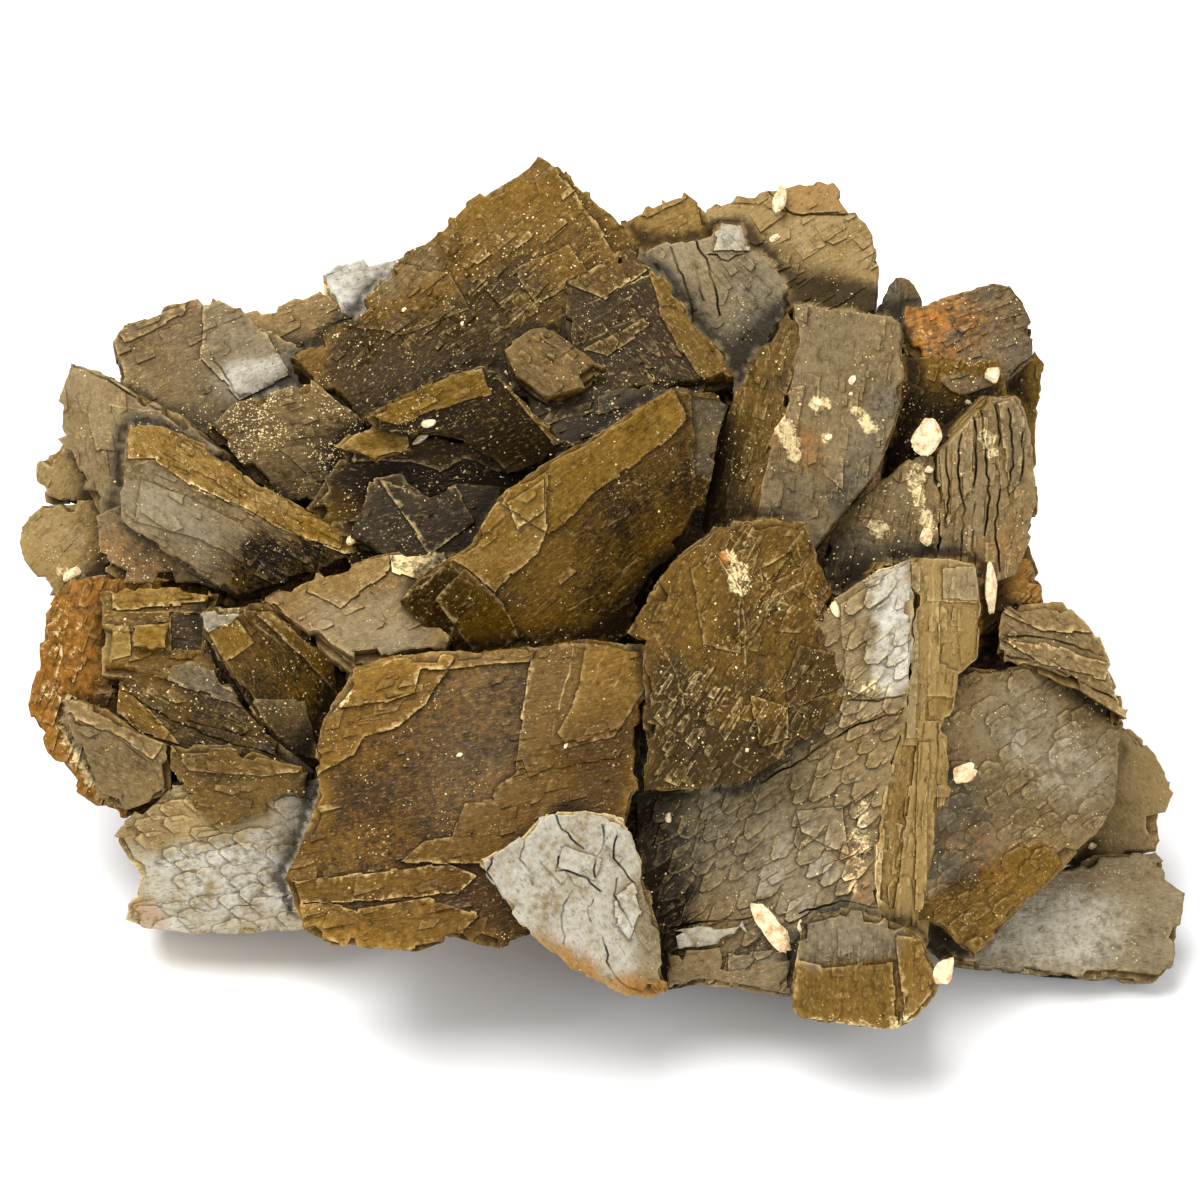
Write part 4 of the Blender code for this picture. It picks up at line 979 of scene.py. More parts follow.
crystal("front_rhomb", (-13, -20, 22, 0.05, -0.15), (0, 0, -10),
    [(-25.1, -6.3), (-20, -5.2), (-10.1, -4.9), (-1.2, -3.9), (5.2, -4.3), (4.4, -12), (3.8, -19),
     (1, -30), (-10.1, -35), (-14.6, -33.9), (-18.4, -35.2), (-26.8, -34.6), (-29.7, -33),
     (-31.6, -28.2), (-30, -24), (-28.1, -18.6), (-28.6, -16.1), (-27.8, -11.9), (-25.6, -8.4)],
    dict(rust=0.1, lattice=(12, 78, 4.2, 2.2), amber=0.15, sheen=0, tone=-0.22, thin=0.7, chip=1.2,
         flakes=0.06,
         flake_zones=[(26, -29, -14.5, -17, -7, 1.2), (34, -29, -31, -14, -30, 1.6),
                      (22, -12, -22, 2, -14, 2.4)],
         steps_up=[
             ([(-28.4, -17.6), (-24.6, -15.4), (-23.6, -13.6), (-20, -12.6), (-17.2, -10.4),
               (-15.6, -7.6), (-14, -5.2), (-24, -6), (-28, -12)], 0.35,
               dict(amber=0.45, tone=0.15, light=0.7)),
             ([(-26, -10.7), (-21.2, -10.2), (-18.4, -9.2), (-17.8, -7), (-7.2, -6.2), (-6.4, -5),
               (-12, -4.6), (-20, -5), (-25.2, -6.2)], 0.45,
               dict(amber=0.35, tone=0.1, light=0.8)),
             ([(-6.9, -4.4), (-7.8, -11), (-8.4, -17.2), (-10.2, -18.6), (-10.8, -20),
               (-13.6, -20.2), (-14.8, -23.6), (-17.5, -23.9), (-20.2, -26.2), (-12, -26.5),
               (-8, -30), (2, -30), (4, -19), (5.4, -4.2)], 0.75,
               dict(amber=0.6, tone=-0.4, light=0.7)),
             ([(-1.4, -3.8), (-2.2, -9), (-4.4, -13.4), (-3, -15), (1.5, -13.6), (4.6, -9),
               (5.4, -4.2)], 0.12, dict(amber=0.35, tone=-0.05, light=0.6)),
             ([(-31.4, -28.3), (-25.2, -27.5), (-15.6, -26.3), (-12.4, -27.6), (-14.4, -29.4),
               (-22, -30), (-30.6, -30.4)], 0.3, dict(amber=0.45, tone=0.1, light=0.9)),
             ([(-31.6, -30.8), (-27.6, -30.2), (-24.2, -31), (-17, -29.8), (-12, -31.4),
               (-14.4, -33.8), (-22, -35.6), (-30, -33.4)], 0.4,
               dict(amber=0.65, tone=0.1, light=0.6))],
         lines=[
             ([(-24.6, -7.4), (-21, -6.2), (-15, -5.3), (-10, -5.6), (-6.6, -5.6)], 0.1, 0.9),
             ([(-2.6, -5), (-3.6, -9), (-4.8, -13.4)], 0.06, 0.7),
             ([(0.8, -4.4), (-0.6, -8), (-1.8, -11)], 0.05, 0.6),
             ([(3, -4.4), (1.6, -8.6)], 0.05, 0.6),
             ([(-8.6, -17.6), (-3, -16.6), (2, -15.8)], -0.12, 0.5)],
         zones=[("amber", 0.5, -28.4, -17, -30.4, -27, 1, 2.4),
                ("amber", 0.6, -29, -32, -28.4, -32.4, 0.8, 2),
                ("cream", 0.5, -28.6, -15, -26, -9, 0.4, 1.2),
                ("tone", -0.5, 0, -14, 2, -20, 3.4, 3), ("amber", -0.4, 0, -15, 2, -20, 3, 3),
                ("tone", -0.5, -10, -28, -14, -31, 1.4, 2.6),
                ("sheen", 0.1, -13, -17, -8, -8, 3, 6)]))
crystal("grey_scaly", (-1, -30, 26.5, -0.35, 0.25), (0.3, 0, -9),
    [(-11.9, -26), (-9.5, -24.7), (-7.3, -23.1), (-5.7, -21.2), (-1.5, -21), (2.6, -21.8),
     (4.2, -26.3), (6, -33), (6.8, -39), (5.5, -40), (2.5, -39.5), (-3.1, -37.1), (-8.5, -32),
     (-11.4, -27.5)],
    dict(lattice=(-52, 38, 2.6, 2), sheen=1.15, tone=0.5, thin=0.1, flakes=0.1, flake_light=0.2,
         chip=0.9,
         lines=[
             ([(-4.6, -20.9), (-3.7, -22.8), (-2.9, -23.9), (-1.8, -24.8)], -0.35, 1),
             ([(-4.2, -25.7), (-4.4, -27), (-2.7, -27.2), (-1.3, -27.8), (0, -29.1)], -0.35, 1),
             ([(0.4, -22.6), (0.4, -24.3), (-0.5, -26.1), (-0.5, -27.8)], -0.35, 1),
             ([(1.5, -23.7), (1.3, -25.7), (2.3, -27), (3.4, -28.3)], -0.4, 1),
             ([(-2.9, -29.3), (-3.7, -30.4), (-3.8, -32.2), (-3.5, -34.3)], -0.35, 1),
             ([(-0.7, -30), (-1.1, -30.9), (-0.9, -32.2)], -0.3, 0.9),
             ([(1.7, -27.8), (1.5, -29.6), (2.3, -31.3), (3.2, -32.6)], -0.35, 1),
             ([(0.4, -33.9), (0.8, -36.1), (1.9, -38.3), (4.1, -39.3)], -0.4, 1),
             ([(-5.9, -34.8), (-4.2, -36.1), (-2.4, -37.4), (-1.1, -38.7)], -0.3, 0.9),
             ([(-10.6, -25.2), (-11.2, -27), (-10.4, -28.7), (-9.2, -30.4)], -0.4, 1),
             ([(-7.6, -24), (-7.9, -26), (-6.6, -28.4)], -0.2, 0.5)],
         steps_up=[
             ([(1.5, -29.6), (3.4, -28.3), (4.2, -31), (3, -34), (1.6, -32.4)], 0.25,
               dict(sheen=0.5, tone=0.2, light=0.5)),
             ([(-3.6, -24.6), (0.2, -26), (-0.6, -28), (-4.2, -26.6)], 0.22,
               dict(sheen=0.1, light=0.3))],
         zones=[("rust", 0.55, -9, -34, 5, -40, 1, 1.8),
                ("sheen", -0.8, -9, -34.4, 5, -40.4, 0.8, 1.8),
                ("sheen", -0.5, 5.5, -30, 6, -38, 1.2, 2.4),
                ("tone", -0.5, 5.5, -30, 6, -38, 1, 2.2)]))
crystal("front_scaly", FRONT_SCALY_FACE, (0.5, 0, -12),
    [(23.4, 0.2), (25.3, 1.5), (27.9, 3.1), (31.4, 4.2), (31.4, -3.9), (30.6, -11.9),
     (29.2, -16.7), (27.9, -23.1), (27.6, -29.5), (28.5, -32.6), (19, -39.8), (14, -39),
     (10, -38.5), (5.4, -39.2), (4, -30), (3.2, -20), (2.4, -13), (12, -7), (20, -3)],
    dict(chip=0.4, lattice=(27, 75, 2.7, 2.2), scaly=0.85, scale_step=0.34, scale_light=0.45,
         sheen=0.42, tone=0.1, thin=0.1, flakes=0.1,
         lines=[
             ([(16, -18.2), (19, -16.6), (22, -14.8), (25, -12.8), (27.5, -11.9), (30, -11.5)],
               -0.5, 1),
             ([(24, -9.9), (27, -10.2), (30.4, -9.4)], -0.3, 0.8),
             ([(6.6, -32.8), (10, -32.2), (15, -31.8)], -0.4, 1),
             ([(20, -31.2), (24, -30.2), (28, -30.8)], -0.4, 1)],
         steps_up=[
             ([(24, -0.4), (31, 3.8), (31, -9.4), (27, -9.8), (24.6, -9)], 0.3,
               dict(sheen=0.15, tone=0.1, light=0.3, foot=0.3)),
             ([(19.6, -21), (24.4, -20.6), (24.8, -25.4), (20.2, -23.4)], 0.3,
               dict(sheen=0.2, light=0.6)),
             ([(12.8, -35.4), (18.6, -35), (19, -39.4), (13, -38.4)], 0.3,
               dict(sheen=0.2, light=0.4))],
         zones=[("sheen", 0.75, 28.8, 3, 29.4, -8, 1.3, 1.6),
                ("sheen", 0.3, 12, -22, 22, -30, 3, 3.5),
                ("cream", 0.45, 26.4, -20, 25.2, -29, 0.7, 1.3),
                ("cream", 0.5, 26.4, -8.8, 29, -9, 0.5, 1),
                ("cream", 0.25, 28.9, -1, 29.4, -8, 0.3, 1.2),
                ("amber", 0.5, 23.5, -24, 27, -14, 0.8, 2),
                ("rust", 0.4, 24.6, -25, 26, -29.6, 0.6, 1.4),
                ("tone", -0.5, 6, -20, 7.5, -38, 1.8, 2.6),
                ("sheen", -0.4, 6, -20, 7.5, -38, 1.8, 2.6)]))
crystal("amber_side", (31.4, 4.2, 26.7, -1.3, 0.274), (-5, 0, -9),
    [(31.2, 4.2), (33, 4.4), (37.5, 3.7), (38.1, -0.8), (37.8, -5.9), (35.9, -7.5), (35.5, -10.3),
     (34.6, -12.9), (35.1, -16.7), (35.1, -26.3), (34.3, -29.1), (33.2, -32), (33, -38),
     (28.5, -38), (28.3, -32.6), (27.4, -29.5), (27.7, -23.1), (29, -16.7), (30.4, -11.9),
     (31.2, -3.9)],
    dict(lattice=(86, 6, 7, 0.8), amber=0.35, tone=1.15, thin=0.1, rim=0.9, chip=0.4, flakes=0.5,
         flake_light=0.9,
         steps_up=[
             ([(34, -0.2), (37.9, -0.2), (37.6, -5.8), (36, -7.2), (34, -6.5)], -0.3,
               dict(tone=-0.25, amber=0.1, light=0.9)),
             ([(34.2, 3.4), (37.8, 3.2), (38, 0), (34.2, 0)], 0.25, dict(sheen=0.6, light=0.7)),
             ([(32.6, -9.7), (35.4, -9.7), (35.1, -12.1), (32.6, -12.2)], -0.2,
               dict(tone=-0.5, light=0.9)),
             ([(31.3, 3.6), (32, 3.6), (31.6, -13.8), (30.4, -13.8)], 0.3,
               dict(tone=0.2, sheen=0.4, light=0.8)),
             ([(29.6, -14.6), (31.6, -14.6), (30.6, -22), (29.4, -31), (28, -30), (28.4, -22)],
               -0.35, dict(tone=-0.55, light=0.6)),
             ([(31.9, -14), (32.9, -14), (32.6, -31), (31.4, -31)], 0.3,
               dict(tone=0.25, light=0.7)),
             ([(33.4, -19.8), (35, -19.8), (34.8, -24.6), (33.2, -24.6)], -0.3,
               dict(tone=-0.5, amber=-0.3, light=0.5))],
         lines=[
             ([(33.3, 3.8), (33, -9)], 0.1, 0.8),
             ([(31.2, -14), (30.2, -24), (29.6, -34)], 0.1, 0.8),
             ([(33.8, -12.4), (33.7, -30)], -0.2, 0.8),
             ([(32.3, -12.4), (31.6, -22), (31, -33)], -0.2, 0.7),
             ([(34.4, -12.6), (34.8, -19)], 0.08, 0.7)],
         zones=[("tone", -0.6, 30, -34.6, 31, -37, 1.2, 1.6),
                ("cream", 0.35, 27.8, -25, 28, -31, 0.5, 1)]))
crystal("foot", FOOT_FACE, (0, 0, -9),
    [(20, -32), (24.1, -30.8), (27.9, -31.4), (32.4, -33.6), (33.4, -36.2), (34.3, -38.4),
     (33.4, -40), (31.8, -41.9), (29.9, -42.9), (25.7, -42.9), (20, -41.9), (19.2, -41),
     (19.3, -37.5), (19.8, -34.9)],
    dict(lattice=(88, -3, 2.6, 1.3), amber=0.45, sheen=0.05, tone=0.05, thin=0.4, rim=0.5,
         flakes=0.25, chip=1,
         steps_up=[
             ([(19.4, -36), (22.4, -36.6), (29.4, -36.2), (29.8, -43.4), (19.4, -43)], 0.35,
               dict(amber=0.25, tone=0.1, light=0.5)),
             ([(29.6, -33.6), (32.6, -34), (33.6, -38.6), (30.4, -42.4)], 0.3,
               dict(amber=0.1, tone=0.35, light=0.8))],
         zones=[("sheen", 0.55, 21.5, -34, 27.4, -33.6, 1.8, 1.6),
                ("tone", -0.25, 21.5, -34, 27.4, -33.6, 1.8, 1.6),
                ("cream", 0.38, 22, -42.4, 31, -42.4, 0.5, 1)]))
crystal("blue_plate", (11, -33.5, 19, 0.25, 0.1), (0, 0, -4),
    [(7.5, -33), (10, -32.6), (15.1, -32.3), (13.9, -33.9), (10, -34.9), (7.8, -34.9)],
    dict(lattice=(5, 70, 3, 1.2), sheen=1.1, tone=0.2))
crystal("under_plate", (10, -37, 18.3, 0.25, 0.1), (0, 0, -5),
    [(6.7, -35.2), (12, -34.8), (12.3, -36.5), (19, -36), (19, -39.4), (14, -38.6), (10, -38.2),
     (6.8, -38.8)],
    dict(lattice=(5, 80, 2.4, 1.2), amber=0.5, sheen=0.45, tone=0.1))
crystal("rough_crystal", (14, -5, 25.5, 0, -0.1), (0, 0, -10),
    [(4.6, -0.1), (5.2, 1.5), (7.8, 4.4), (11.9, 7.9), (15.1, 8), (18.3, 8.3), (20.5, 7.9),
     (21.5, 5.6), (23.7, -0.8), (25.3, -8.1), (24.1, -10.3), (22.2, -13.2), (16.7, -16.7),
     (13.9, -18.6), (4.4, -19.2), (4.3, -10.3), (4.3, -4.3), (2.7, -3.3)],
    dict(lattice=(58, -22, 2.4, 1.2), amber=0.35, sheen=0, tone=-0.05, thin=0.3, chip=1.2,
         flakes=0.35, flake_light=0.8,
         bevels=[((14.6, -9), (14.4, 8.5), -0.14), ((14.4, 8.5), (14.6, -9), 0.22)],
         flake_zones=[(90, 6, -9, 18, -13, 2.2), (30, 14.6, 6, 15.4, -6, 0.5),
                      (30, 20.4, 6, 24.6, -6, 0.7), (24, 16.5, -0.2, 19.5, 0.4, 0.8)],
         steps_up=[
             ([(16.2, 3.2), (19.2, 5), (20, 3.1), (16.5, 1.5)], -0.25,
               dict(tone=-0.45, amber=0.5, light=0.6)),
             ([(20, -4.6), (24.8, -5.6), (25, -8.4), (18.8, -11), (18.6, -8)], 0.3,
               dict(tone=-0.45, amber=0.1, light=0.4)),
             ([(15, -9.4), (18.7, -10.6), (18.8, -13.8), (16, -14.8)], 0.35,
               dict(amber=0.2, tone=0.1, light=0.9)),
             ([(9, 3), (11.8, 4.4), (14.2, 0.6), (14, -5.4), (10.4, -4.6)], 0.18,
               dict(tone=-0.12, amber=0.15, light=0.5))],
         lines=[
             ([(20.6, 7.6), (21.8, 3), (23.4, -1.4), (24.8, -6)], 0.1, 0.9),
             ([(19.2, 7.4), (20.4, 3), (21.6, -1)], 0.08, 0.7),
             ([(12.4, 5.6), (13.6, 2.6), (14.4, -1.2), (14.6, -6.4)], 0.1, 0.8),
             ([(5.2, -3), (7.4, -6.6), (8.6, -11)], 0.06, 0.5),
             ([(18.8, -11), (22, -9.8), (24.4, -9)], 0.08, 0.9)],
         zones=[("cream", 0.5, 12.8, 4.6, 14.2, 1, 0.4, 0.9),
                ("rust", 1.2, 12.3, 4.4, 12.5, 4, 0.4, 0.3),
                ("tone", -0.55, 6, -10, 9, -18, 2.6, 3.4),
                ("tone", -0.5, 14, -15.6, 22, -12.6, 1.4, 1.6),
                ("amber", 0.3, 8, 4, 10, -2, 2, 2)]))


# ---------------------------------------------------------------------------------------------
# The middle: a long diagonal blade that stands out over the rest, two lighter tablets, a wedge
# striped with amber, and thin dark plates with pale edges in the hollow behind them.
# ---------------------------------------------------------------------------------------------

crystal("diagonal_blade", (-3, 6, 14, -0.2, 0.3), (-0.5, 0, -6),
    [(-20.1, -0.2), (-17.9, 2.4), (-12.8, 5.9), (-10.2, 10.3), (-8, 12.2), (-2.2, 15.6), (1.6, 18),
     (7, 21), (11.5, 20.7), (12.9, 19.4), (11.8, 16.4), (11.2, 11.9), (10.2, 9), (7.7, 4.6),
     (4.6, 0.4), (3.2, -3), (0, -6), (-8, -8), (-15, -6)],
    dict(lattice=(39, -51, 4, 1.9), amber=0.15, tone=0, thin=0.1, rim=0.3, flakes=0.07, chip=0.9,
         bevels=[((-6.6, -4.1), (-14.9, 3.7), 0.35)],
         steps_up=[
             ([(-9.9, 9.6), (-8, 12.4), (-2.2, 16), (2, 18.6), (7.2, 21.4), (8.8, 18), (5.8, 15.2),
               (2, 12.5), (-1, 10.4), (-3.4, 7.8), (-5, 6.6)], 0.55,
               dict(amber=0.95, tone=0.25, light=0.45)),
             ([(-15.4, 4.6), (-12.8, 6.2), (-10.2, 10.4), (-8, 12.6), (-5.2, 12.6), (-5.2, 7.6),
               (-6.1, 4.6), (-9, 2.4), (-10.4, 0.6), (-12.6, 2.6)], 0.35,
               dict(cream=0.12, tone=0.45, amber=0.2, light=0.9)),
             ([(-9.4, 9.6), (-5.6, 12.2), (-5.6, 9), (-8.2, 7)], 0.3,
               dict(cream=0.1, tone=0.2, light=0.9)),
             ([(-16.5, 0), (-13.6, 3.4), (-9.6, -0.6), (-8, -4), (-12, -6)], 0.12,
               dict(amber=0.35, light=0.6)),
             ([(-20.6, -0.4), (-15, 3.8), (-12.6, 1.6), (-15.4, -5)], 0.1,
               dict(tone=-0.25, light=0.7)),
             ([(9, 20.6), (12.9, 19.8), (11.6, 12), (9.6, 12.6)], -0.2,
               dict(tone=-0.1, sheen=0.25, light=0.3))],
         lines=[
             ([(-8, 12.4), (-2.2, 15.9), (2, 18.3), (7, 21.2)], 0.1, 0.9),
             ([(-4.8, 6.6), (-3.2, 8)], -0.2, 0.9),
             ([(1.6, 11.6), (3, 12), (4, 11.4)], 0.06, 0.6),
             ([(-3, -1), (2, 2)], 0.05, 0.3)],
         zones=[("amber", 0.35, 2, 16.6, 6.6, 19, 0.8, 1.2), ("tone", -0.2, 4, 8, 8, 12, 2, 3)]))
crystal("blade_root", (-2, 0, 8, 0, 0.1), (0, -6, -12),
    [(-16, -1), (-8, 8), (4, 14), (9, 10), (6, 0), (2, -8), (-12, -9)],
    dict(lattice=(30, -60, 4, 1.9), tone=-0.55))
crystal("light_tablet", (-25, -1, 11, 0, -0.65), (1, -5, -7),
    [(-34.5, -0.1), (-29.4, 2.4), (-26.5, 3.4), (-23.3, 4.4), (-17.6, 5.1), (-15.4, 4.7),
     (-14, -1), (-15.4, -5), (-19.2, -5.5), (-24.9, -6.7), (-26.8, -5.2), (-29.7, -2.7),
     (-33.5, -0.5)],
    dict(lattice=(24, -42, 3.4, 1.6), amber=0.4, sheen=0.22, tone=0.3, thin=0.4, rim=0.6,
         flakes=0.1, chip=1.4,
         steps_up=[
             ([(-34.8, -0.2), (-29.4, 2.6), (-20.4, 4.8), (-21.4, 2.6), (-24.8, 0.2),
               (-25.8, -0.9), (-28.6, 0.6), (-31, 1.4)], 0.35,
               dict(tone=0.15, amber=0.1, sheen=-0.1, light=0.6)),
             ([(-21, 4.6), (-15.2, 4.8), (-15, 2.6), (-18, 1.8), (-20.8, 2.8)], 0.3,
               dict(cream=0.5, light=0.5)),
             ([(-34.6, -0.3), (-32.6, -0.4), (-25.8, -6.6), (-24, -7.2), (-27.6, -5.4),
               (-30.2, -3.4)], -0.3, dict(tone=-0.6, amber=0.3, sheen=-0.4, light=0.7))],
         lines=[
             ([(-31, 1.5), (-28, 0.4), (-25.8, -0.9), (-23, -0.6)], 0.1, 0.8),
             ([(-33.4, -0.9), (-29.6, -3.6), (-26, -6.4)], 0.1, 0.9)],
         zones=[("sheen", 0.3, -20, -3, -26, -3.5, 2.4, 2),
                ("tone", -0.3, -18, -4.6, -24, -5, 0.8, 1.6)]))
crystal("wedge", (-32, -8, 10, -0.35, 0.25), (1, 0, -8),
    [(-40.1, -1.5), (-39, -0.6), (-34.5, -0.3), (-32.9, -0.4), (-29.7, -2.7), (-26.8, -5.2),
     (-24, -8), (-24, -15), (-28.4, -17.3), (-31.3, -15.1), (-33.9, -12.5), (-35.8, -10),
     (-37.7, -7.1), (-39.6, -3.9)],
    dict(lattice=(-58, 20, 5, 1.2), amber=0.15, tone=-0.15, thin=0.2, rim=0.3, flakes=0.05,
         bevels=[((-28, -14), (-36, -0.6), 0.3)],
         steps_up=[
             ([(-40.4, -1.2), (-35.4, -0.6), (-36.6, -2), (-39.2, -3.4)], 0.15,
               dict(sheen=0.9, tone=0.3, light=0.6)),
             ([(-39.2, -3.2), (-36.2, -1.8), (-34.6, -4.2), (-37.4, -6.2)], 0.1,
               dict(amber=0.9, tone=0.3, light=0.5)),
             ([(-34.4, -1.4), (-33, -1), (-26.4, -6.4), (-26.2, -9.4), (-30, -5.4)], 0.2,
               dict(amber=0.55, tone=0.1, light=0.7)),
             ([(-35, -10), (-29.6, -10), (-28, -16), (-31, -15.4)], 0.1,
               dict(sheen=0.2, tone=0.1, light=0.3))],
         lines=[
             ([(-39.8, -3.4), (-37, -8), (-33.4, -13)], 0.1, 0.7),
             ([(-36, -0.9), (-31.4, -5)], 0.08, 0.6)]))
crystal("mid_tablet", (-12, 18, 9, -0.1, 0.3), (-0.3, -0.5, -6),
    [(-23.8, 18.3), (-19.8, 20.6), (-14.8, 23), (-11.5, 23.7), (-10, 22.5), (-6.7, 18.9),
     (-2.3, 15.4), (-5.4, 14), (-9.2, 12.4), (-12.1, 15), (-13.7, 16.1), (-16.9, 16.7),
     (-19.5, 16.4), (-22, 17)],
    dict(chip=0.6, lattice=(28, -42, 3.6, 1.6), amber=0.1, tone=-0.4, rim=0.4, thin=0.1,
         flakes=0.08,
         steps_up=[
             ([(-23.4, 18.2), (-20, 20.2), (-15, 22.4), (-11.6, 23.2), (-10.8, 20.6),
               (-15.8, 19.2), (-20.2, 17.4)], 0.2, dict(amber=1, tone=0.2, light=0.4)),
             ([(-10.6, 22.4), (-9.2, 21.6), (-3.6, 15.8), (-4.6, 15.4)], 0.15,
               dict(amber=0.5, tone=0.2, light=0.6))],
         lines=[
             ([(-23.6, 18.4), (-20, 20.6), (-15, 22.7), (-11.6, 23.5)], 0.12, 1),
             ([(-11.4, 23.5), (-8, 20.2), (-2.6, 15.4)], 0.12, 1),
             ([(-21, 16.9), (-16, 16.3), (-13.4, 15.8), (-11.6, 14.2), (-9.6, 12.6)], 0.08, 0.8)]))
crystal("amber_leaf", (-23, 15.5, 7.5, 0, -0.1), (0, -0.5, -5),
    [(-26.7, 15.4), (-24.9, 17), (-22.4, 17.5), (-19.2, 16.4), (-18.9, 15.1), (-22.4, 13.8),
     (-25.2, 14.8)],
    dict(lattice=(10, -60, 2.4, 1.1), amber=0.8, tone=0, rim=0.9, flakes=0.1))
crystal("dark_plate_upper", (-18, 11, 4.5, 0, 0.1), (0, -3, -8),
    [(-26, 14.6), (-22, 17.2), (-13.5, 16.6), (-5, 13.5), (-6, 8), (-14, 3.5), (-24, 2),
     (-29.5, 9.5)],
    dict(lattice=(0, 70, 4.5, 2), tone=-0.95, amber=0.05, rim=0.5, flakes=0.06,
         steps_up=[
             ([(-25, 13.8), (-19, 13.8), (-16, 12.8), (-13.6, 14), (-11, 13.2), (-9.2, 12.4),
               (-5, 14), (-6, 17), (-24, 17)], 0.4, dict(tone=0.15, amber=0.2, light=1))],
         zones=[("amber", 0.5, -27, 8, -22, 4, 1.4, 2)]))
crystal("dark_plate_lower", (-17, 9, 6.6, 0, -0.1), (0, -3, -6),
    [(-23, 12.2), (-20, 12.7), (-17, 10.6), (-14.5, 11.7), (-9.8, 11.3), (-11, 6), (-15, 3),
     (-20.5, 4), (-25, 6.5)],
    dict(lattice=(8, 80, 3, 1.4), tone=-0.85, amber=0.1, sheen=0.05, rim=0.9, flakes=0.1,
         steps_up=[
             ([(-22, 12), (-17, 10.6), (-14.5, 11.6), (-12.4, 8), (-17, 4.4)], 0.3,
               dict(tone=0.1, light=0.8))]))
crystal("bridge_plate", (0, 20, 6, 0.1, -0.3), (0, -4, -7),
    [(-9.6, 25), (-1, 24.8), (3.5, 22.6), (9.9, 21), (8, 15), (-2.2, 11), (-7, 17), (-8.6, 21)],
    dict(lattice=(20, 80, 3, 1.2), tone=-0.35, amber=0.2, sheen=0.15, flakes=0.4, flake_light=0.7))
crystal("small_step", (-4, 24, 7.8, 0, -0.2), (0, -3, -6),
    [(-8.8, 26), (-7, 27.1), (-4.6, 27.8), (-2.9, 26), (-1, 24.8), (0.6, 23.2), (-1.5, 21.2),
     (-5.4, 20.3), (-8.3, 22.4), (-9.6, 25)],
    dict(chip=1.6, lattice=(-35, 45, 2.4, 1.3), tone=-0.05, amber=0.25, sheen=0.15, flakes=0.35))


# ---------------------------------------------------------------------------------------------
# The left side: grey-brown blades and a striated fin, rounded amber lobes behind it, a lump
# peppered with golden specks, low dark slabs, a pale scaly apron and rusty broken matrix.
# ---------------------------------------------------------------------------------------------

crystal("left_main", (-36, 8, 6.5, -0.1, 0.25), (0.5, 0, -6.5),
    [(-47.2, 17.5), (-44.1, 17.5), (-39.6, 15.6), (-34.5, 11.9), (-29.4, 9), (-26.2, 7.1),
     (-23, 4.7), (-26.2, 4.1), (-28.1, 2.8), (-33.5, 0.6), (-36.4, 0), (-39.6, 2.2), (-45.3, 5.9),
     (-48, 8), (-48.2, 12.9)],
    dict(lattice=(-30, 70, 4.2, 1.9), tone=0.1, amber=0, sheen=0.35, flakes=0.15, chip=0.8, thin=0,
         rim=0.3,
         bevels=[((-46.4, 14), (-27, 4.6), 0.6)],
         flake_zones=[(60, -45, 15, -30, 7.6, 1)],
         steps_up=[
             ([(-47.4, 17.8), (-44, 18), (-39.8, 16.2), (-35, 12.6), (-29.4, 9.6), (-26, 7.4),
               (-23, 4.9), (-25.5, 4.6), (-32, 7.2), (-36, 9.4), (-41, 11.4), (-44.4, 14),
               (-47.2, 14)], 0.25, dict(cream=0.28, tone=0.35, amber=0.35, sheen=-0.3, light=0.9)),
             ([(-31.6, 8.6), (-28.8, 8.4), (-25.6, 6.8), (-26, 5.2), (-32.2, 6.8)], 0.12,
               dict(amber=0.9, tone=-0.2, cream=-0.5, light=0.6)),
             ([(-46, 12), (-41, 10.2), (-33, 6), (-35, 3.4), (-40, 6.2), (-46.6, 8)], 0.1,
               dict(sheen=0.1, light=0.2))],
         lines=[
             ([(-46.4, 13.6), (-44.4, 14), (-41, 11.4), (-36, 9.4), (-32, 7.2)], 0.1, 0.9),
             ([(-43, 16.8), (-38, 14), (-33, 10.8), (-28, 8.2)], -0.1, 0.5)],
         zones=[("tone", -0.35, -35, 3, -26, 4.6, 1.6, 2.6),
                ("sheen", -0.6, -35, 3, -26, 4.6, 1.8, 2.2),
                ("sheen", 0.3, -46, 10, -40, 6, 1.4, 2.4)]))
crystal("left_main_lower", (-43, 4, 4, 0, 0.1), (1.5, -1, -6),
    [(-50.4, 8.4), (-49.8, 3), (-47.6, 1.7), (-40.2, 1.6), (-35, 0.2), (-33, 6), (-45, 11)],
    dict(lattice=(-28, 60, 3.2, 1.5), tone=-0.05, amber=0.2, sheen=0.35, flakes=0.28,
         zones=[("rust", 0.3, -49, 5, -44, 3, 1, 2)]))
crystal("left_fin", (-48, 15, 1, 0.3, 0), (3, -1, -5),
    [(-53.1, 24), (-50.1, 22.9), (-45.2, 20), (-42.8, 18.9), (-38, 15), (-38, 9), (-46, 6),
     (-49.8, 7.1), (-52.4, 12.6), (-53.6, 15.4), (-54.3, 16.1), (-54.3, 19.9), (-53.6, 22.1)],
    dict(lattice=(97, 12, 5, 1), tone=0.35, amber=0.2, sheen=0.5, flakes=0.12, thin=0.1,
         lines=[
             ([(-53, 23.6), (-50, 22.4), (-45.2, 19.6), (-42.8, 18.5)], -0.25, 1),
             ([(-49, 19.4), (-44, 18.8), (-42, 17.8)], 0.1, 0.8),
             ([(-51, 21.4), (-51.4, 15), (-50, 9)], -0.1, 0.4),
             ([(-48.4, 18), (-48.2, 12), (-46.6, 8)], -0.1, 0.4)],
         zones=[("tone", -0.3, -45, 19, -39, 14, 1, 2)]))
